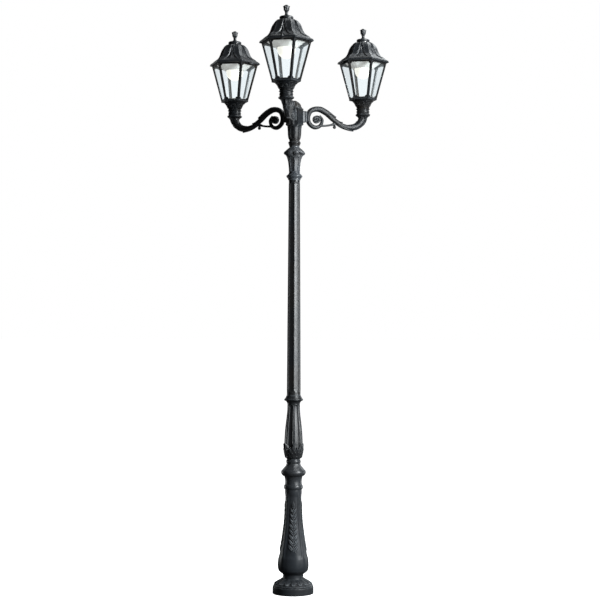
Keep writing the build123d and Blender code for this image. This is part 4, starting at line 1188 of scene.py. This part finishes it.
def cap_shape():
    rows = turned(
        profile(
            [
                (31, 3060, 1), (33, 3060, 1), (33, 3065.4), (33.6, 3066.6, 1), (35.4, 3067), (36.6, 3069.4), (36.8, 3072.6), (36.2, 3076),
                (34.6, 3078.6), (32.6, 3079.6), (30.6, 3079.4, 1), (29.6, 3080.2), (24, 3081.2), (17.2, 3081.8, 1), (17.2, 3082.6), (15.4, 3083, 1), (7, 3083),
            ],
            1.0,
        ),
        144,
    )
    return Shape().cast(rows, [(7, 3070.4), (31, 3070.4)]).shift(y=-REACH)


def finial_shape():
    line = profile(
        [
            (13, 3082, 1), (13.8, 3083), (14, 3084.6), (12.6, 3086.4, 1), (10.4, 3087.4), (8.6, 3090.4), (7.9, 3095), (7.9, 3100.4, 1),
            (9.6, 3101.4), (10.2, 3103.2), (9.6, 3105, 1), (8.6, 3105.8, 1), (10, 3106.8), (12.4, 3109), (13.9, 3113), (14.5, 3117.5),
            (14.9, 3121.5), (15.6, 3125.4), (16.8, 3129.2), (18.1, 3132.8), (17.7, 3133.7, 1), (15.4, 3131.8), (13.2, 3130, 1), (11.2, 3130.8),
            (11, 3133.8), (9.8, 3136.8), (6.8, 3139.1), (3, 3140), (0.3, 3140),
        ],
        0.8,
    )
    n = 144
    th = (np.arange(n) * 2 * PI / n)[None, :]

    def relief(t, z, r):
        q = wrap(t, PI / 3)
        gap = PI / 6 - np.abs(q)
        cup = ramp(3107, 3111.5, z) * (z < 3133.9)
        h = -1.5 * hill(gap * 15, 1.1) * cup + 0.8 * hill(q * 15, 1.1) * cup * ramp(3129, 3121, z)
        h = h + 0.7 * hill(gap * 15 - 2.2, 0.8) * cup
        return h * (r > 12.0)

    rows = turned(line, n, relief)
    lip = ramp(3123, 3132, line[:, 1])[:, None] * (line[:, 0] > 14.0)[:, None]
    notch = (0.5 - 0.5 * np.cos(6 * th)) ** 3
    rows[..., 2] -= lip * notch * 4.0
    shrink = 1 - lip * notch * 0.06
    rows[..., 0] *= shrink
    rows[..., 1] *= shrink
    return Shape().rings(rows).shift(y=-REACH)


def reflector_shape():
    """White pan: six wide facets and six narrow ones down the hips, a turned flange and a round hole for the globe."""
    cut = 11.0

    def ring(r, z, round_to=None):
        pts = []
        for k in range(6):
            c = k * PI / 3
            near = r - cut / math.tan(PI / 3)
            p = [np.array([near, way * cut]) for way in (-1, 1)]
            nxt = [np.array([near, way * cut]) for way in (-1, 1)]
            rot = np.array([[math.cos(c), -math.sin(c)], [math.sin(c), math.cos(c)]])
            rot2 = np.array([[math.cos(c + PI / 3), -math.sin(c + PI / 3)], [math.sin(c + PI / 3), math.cos(c + PI / 3)]])
            a, b, d = rot @ p[0], rot @ p[1], rot2 @ nxt[0]
            pts += [a + (b - a) * t for t in np.linspace(0, 1, 7)[:-1]]
            pts += [b + (d - b) * t for t in np.linspace(0, 1, 25)[:-1]]
        pts = np.array(pts)
        if round_to:
            pts = pts / np.linalg.norm(pts, axis=1)[:, None] * round_to
        return np.hstack([pts, np.full((len(pts), 1), float(z))])

    rows = []
    for r, z, k in (
        (122, 2954.0, None), (122, 2952.6, None), (117, 2952.6, None), (115, 2951.6, None), (105, 2945.2, None), (90, 2934.9, None), (75, 2924.5, None),
        (63, 2916.4, None), (61, 2914.9, None), (59, 2914.5, None), (55, 2914.5, 51.5), (55, 2914.2, 50.2), (55, 2914.9, 49.5), (55, 2916.0, 50.2),
        (60, 2916.2, None), (75, 2926.5, None), (90, 2936.9, None), (105, 2947.3, None), (114.4, 2953.4, None), (117, 2954.0, None),
    ):
        rows.append(ring(r, z, k))
    return Shape().rings(np.array(rows), loop=True).shift(y=-REACH)


def thumb_shape():
    """Black thumb screw: a domed head with finger notches and a plain shank."""
    n = 96

    def relief(th, z, r):
        return -0.8 * np.clip(np.cos(8 * th), 0, 1) ** 2 * ramp(2962.4, 2963.4, z) * (1 - ramp(2968.0, 2969.4, z)) * (r > 4.5)

    rows = turned(
        profile(
            [
                (0.3, 2934), (1.7, 2934.1), (2.5, 2935, 1), (2.5, 2961.9, 1), (5.6, 2962), (6.4, 2962.8), (6.6, 2964.4), (6.3, 2966.6),
                (5.2, 2968.8), (3, 2969.8), (0.3, 2970),
            ],
            0.7,
        ),
        n,
        relief,
    )
    rows[..., 1] -= 119
    return Shape().rings(rows).shift(y=-REACH)


def globe_shape():
    pts = []
    for t in np.linspace(0.02, PI - math.asin(0.42), 46):
        pts.append((47.5 * math.sin(t), 2907 - 47.5 * math.cos(t)))
    pts += [(17.2, 2953.4), (15.0, 2957), (13.9, 2961), (13.6, 2966)]
    rows = turned(np.array(pts), 96)
    return Shape().rings(rows).shift(y=-REACH)


PARTS = (
    ("lantern_cup_{}", "lantern_cup_{}_arches", cup_shape(), CAST_WARM, "post", "cast_black", 36),
    ("lantern_cage_{}", "lantern_cage_{}_frame", cage_shape(), CAST_WARM, "post", "cast_black", 30),
    ("lantern_roof_{}", "lantern_roof_{}_petals", roof_shape(), CAST_ROOF, "roof_{}", "cast_black", 40),
    ("roof_cap_{}", "roof_cap_{}_disc", cap_shape(), CAST_ROOF, "roof_{}", "cast_black", 34),
    ("finial_{}", "finial_{}_tulip", finial_shape(), CAST_ROOF, "roof_{}", "cast_black", 42),
    ("reflector_{}", "reflector_{}_pan", reflector_shape(), ENAMEL_PAINTED_GLOW, "roof_{}", "white_enamel", 22),
    ("roof_thumbscrew_{}", "roof_thumbscrew_{}_knob", thumb_shape(), CAST_WARM, "thumbscrew_{}", "cast_black", 40),
    ("bulb_globe_{}", "bulb_globe_{}_lit", globe_shape(), OPAL, "bulb_{}", "opal_glass", 40),
)
for side, turn in TURNS.items():
    for node, name, shape, material, body, slot, sharp in PARTS:
        a = math.radians(turn)
        # The cage's inner faces get the painted lamplight material.
        lit = (CAST_INSIDE_PAINTED_LAMPLIGHT, (REACH * MM * math.sin(a), -REACH * MM * math.cos(a))) if node.startswith("lantern_cage") else None
        piece(name.format(side), shape.moved(turn, SPIN), material, body.format(side), [node.format(side)], sharp, (), lit)


# ---------------------------------------------------------------- CAD nodes that stay, with their finish
KEPT = {
    "anchor_plate": STEEL, "core_tube": STEEL, "centring_rings": DARK_PLASTIC, "hub_grub_screws": STAINLESS,
    "terminal_block": LIGHT_PLASTIC, "arm_bolts": STAINLESS, "arm_gaskets": RUBBER, "lantern_set_screws": STAINLESS,
    "hinge_pins": STAINLESS,
}
for side in TURNS:
    KEPT.update(
        {
            f"window_panes_{side}": GLASS, f"cap_screws_{side}": STAINLESS, f"lampholder_{side}": PORCELAIN,
            f"stem_nipple_{side}": BRASS, f"bulb_base_{side}": NICKEL,
        }
    )
for node, material in KEPT.items():
    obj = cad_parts[node]
    if not obj.material_slots:
        obj.data.materials.append(material)
    for s in obj.material_slots:
        s.material = material

# ---------------------------------------------------------------- floor, light and camera
floor_mesh = bpy.data.meshes.new("floor")
size = 600.0
floor_mesh.from_pydata([(-size, -size, -0.001), (size, -size, -0.001), (size, size, -0.001), (-size, size, -0.001)], [], [(0, 1, 2, 3)])
floor = bpy.data.objects.new("floor", floor_mesh)
bpy.context.scene.collection.objects.link(floor)
floor.visible_diffuse = False
floor.visible_glossy = False
fm = Nodes("pale_floor")
fm.colour(fm.mix(fm.span(fm.noise(0.6, 3), 0.3, 0.7), (0.84, 0.84, 0.84), (0.81, 0.81, 0.81)))
fm.set(Roughness=0.95, Specular_IOR_Level=0.0, Emission_Color=(1.0, 1.0, 1.0, 1.0), Emission_Strength=1.05)
floor_mesh.materials.append(fm.m)

scene = bpy.context.scene
world = bpy.data.worlds.new("studio")
scene.world = world
world.use_nodes = True
sky = world.node_tree
soft = sky.nodes["Background"]
soft.inputs["Color"].default_value = (1.0, 1.0, 1.0, 1.0)
soft.inputs["Strength"].default_value = 0.055
white = sky.nodes.new("ShaderNodeBackground")
white.inputs["Color"].default_value = (1.0, 1.0, 1.0, 1.0)
white.inputs["Strength"].default_value = 1.0
seen = sky.nodes.new("ShaderNodeLightPath")
choose = sky.nodes.new("ShaderNodeMixShader")
sky.links.new(seen.outputs["Is Camera Ray"], choose.inputs[0])
sky.links.new(soft.outputs[0], choose.inputs[1])
sky.links.new(white.outputs[0], choose.inputs[2])
sky.links.new(choose.outputs[0], sky.nodes["World Output"].inputs["Surface"])
scene.view_settings.view_transform = "Standard"
scene.view_settings.look = "None"
scene.view_settings.exposure = 0.0


def lamp(name, bearing, distance, height, aim, width, tall, watts, tint=(1, 1, 1), cone=180.0, at=(0.0, 0.0)):
    data = bpy.data.lights.new(name, "AREA")
    data.shape = "RECTANGLE"
    data.spread = math.radians(cone)
    data.size, data.size_y, data.energy, data.color = width, tall, watts, tint
    obj = bpy.data.objects.new(name, data)
    scene.collection.objects.link(obj)
    a = math.radians(bearing)
    obj.location = (distance * math.cos(a), distance * math.sin(a), height)
    obj.visible_camera = False
    way = np.array([at[0], at[1], aim]) - np.array(obj.location)
    flat = math.hypot(way[0], way[1])
    obj.rotation_euler = (math.atan2(flat, -way[2]), 0, math.atan2(way[1], way[0]) - PI / 2)
    return obj


COOL = (0.94, 0.98, 1.0)
lamp("key_right", -32, 4.2, 2.35, 1.9, 1.1, 2.5, 400, COOL)
lamp("key_low", -50, 3.6, 0.95, 0.5, 0.8, 0.8, 34, COOL)
lamp("high_right", -20, 4.0, 4.6, 2.6, 1.6, 1.6, 70, COOL)
lamp("lantern_right", -28, 1.9, 3.7, 2.95, 0.7, 0.7, 44, COOL)
lamp("overhead", 35, 1.4, 6.2, 2.6, 2.6, 2.6, 75, COOL)
lamp("back_right", 43, 1.5, 3.95, 3.0, 0.9, 0.9, 13, COOL, 180.0, (0.30, -0.05))
lamp("rim_right", 40, 3.0, 0.5, 0.25, 0.6, 0.9, 10, COOL)
lamp("rim_left", 150, 3.0, 0.5, 0.25, 0.6, 0.9, 11, COOL)

lamp("back_fill", 62, 4.6, 2.4, 1.8, 1.6, 3.0, 40, COOL)
lamp("back_left", 128, 4.6, 2.6, 1.8, 1.6, 3.0, 12, COOL)
for side, turn in TURNS.items():  # light that each lit globe throws down into its lantern
    glow = bpy.data.lights.new(f"glow_{side}", "POINT")
    glow.energy, glow.shadow_soft_size, glow.color = 0.25, 0.03, (1.0, 0.93, 0.82)
    spot = bpy.data.objects.new(f"glow_{side}", glow)
    scene.collection.objects.link(spot)
    spot.location = (REACH * MM * math.sin(math.radians(turn)), -REACH * MM * math.cos(math.radians(turn)), 2.80)
    spot.visible_camera = False

camera = bpy.data.cameras.new("camera")
camera.sensor_width = 36.0
camera.lens = 87.6
camera.shift_x, camera.shift_y = 0.0102, 0.0618
camera.clip_end = 2000.0
cam = bpy.data.objects.new("camera", camera)
scene.collection.objects.link(cam)
CAM_AZ, CAM_D, CAM_H = math.radians(6.0), 8.03, 1.408
cam.location = (CAM_D * math.sin(CAM_AZ), -CAM_D * math.cos(CAM_AZ), CAM_H)
cam.rotation_euler = (PI / 2, math.radians(-0.18), CAM_AZ)
scene.camera = cam
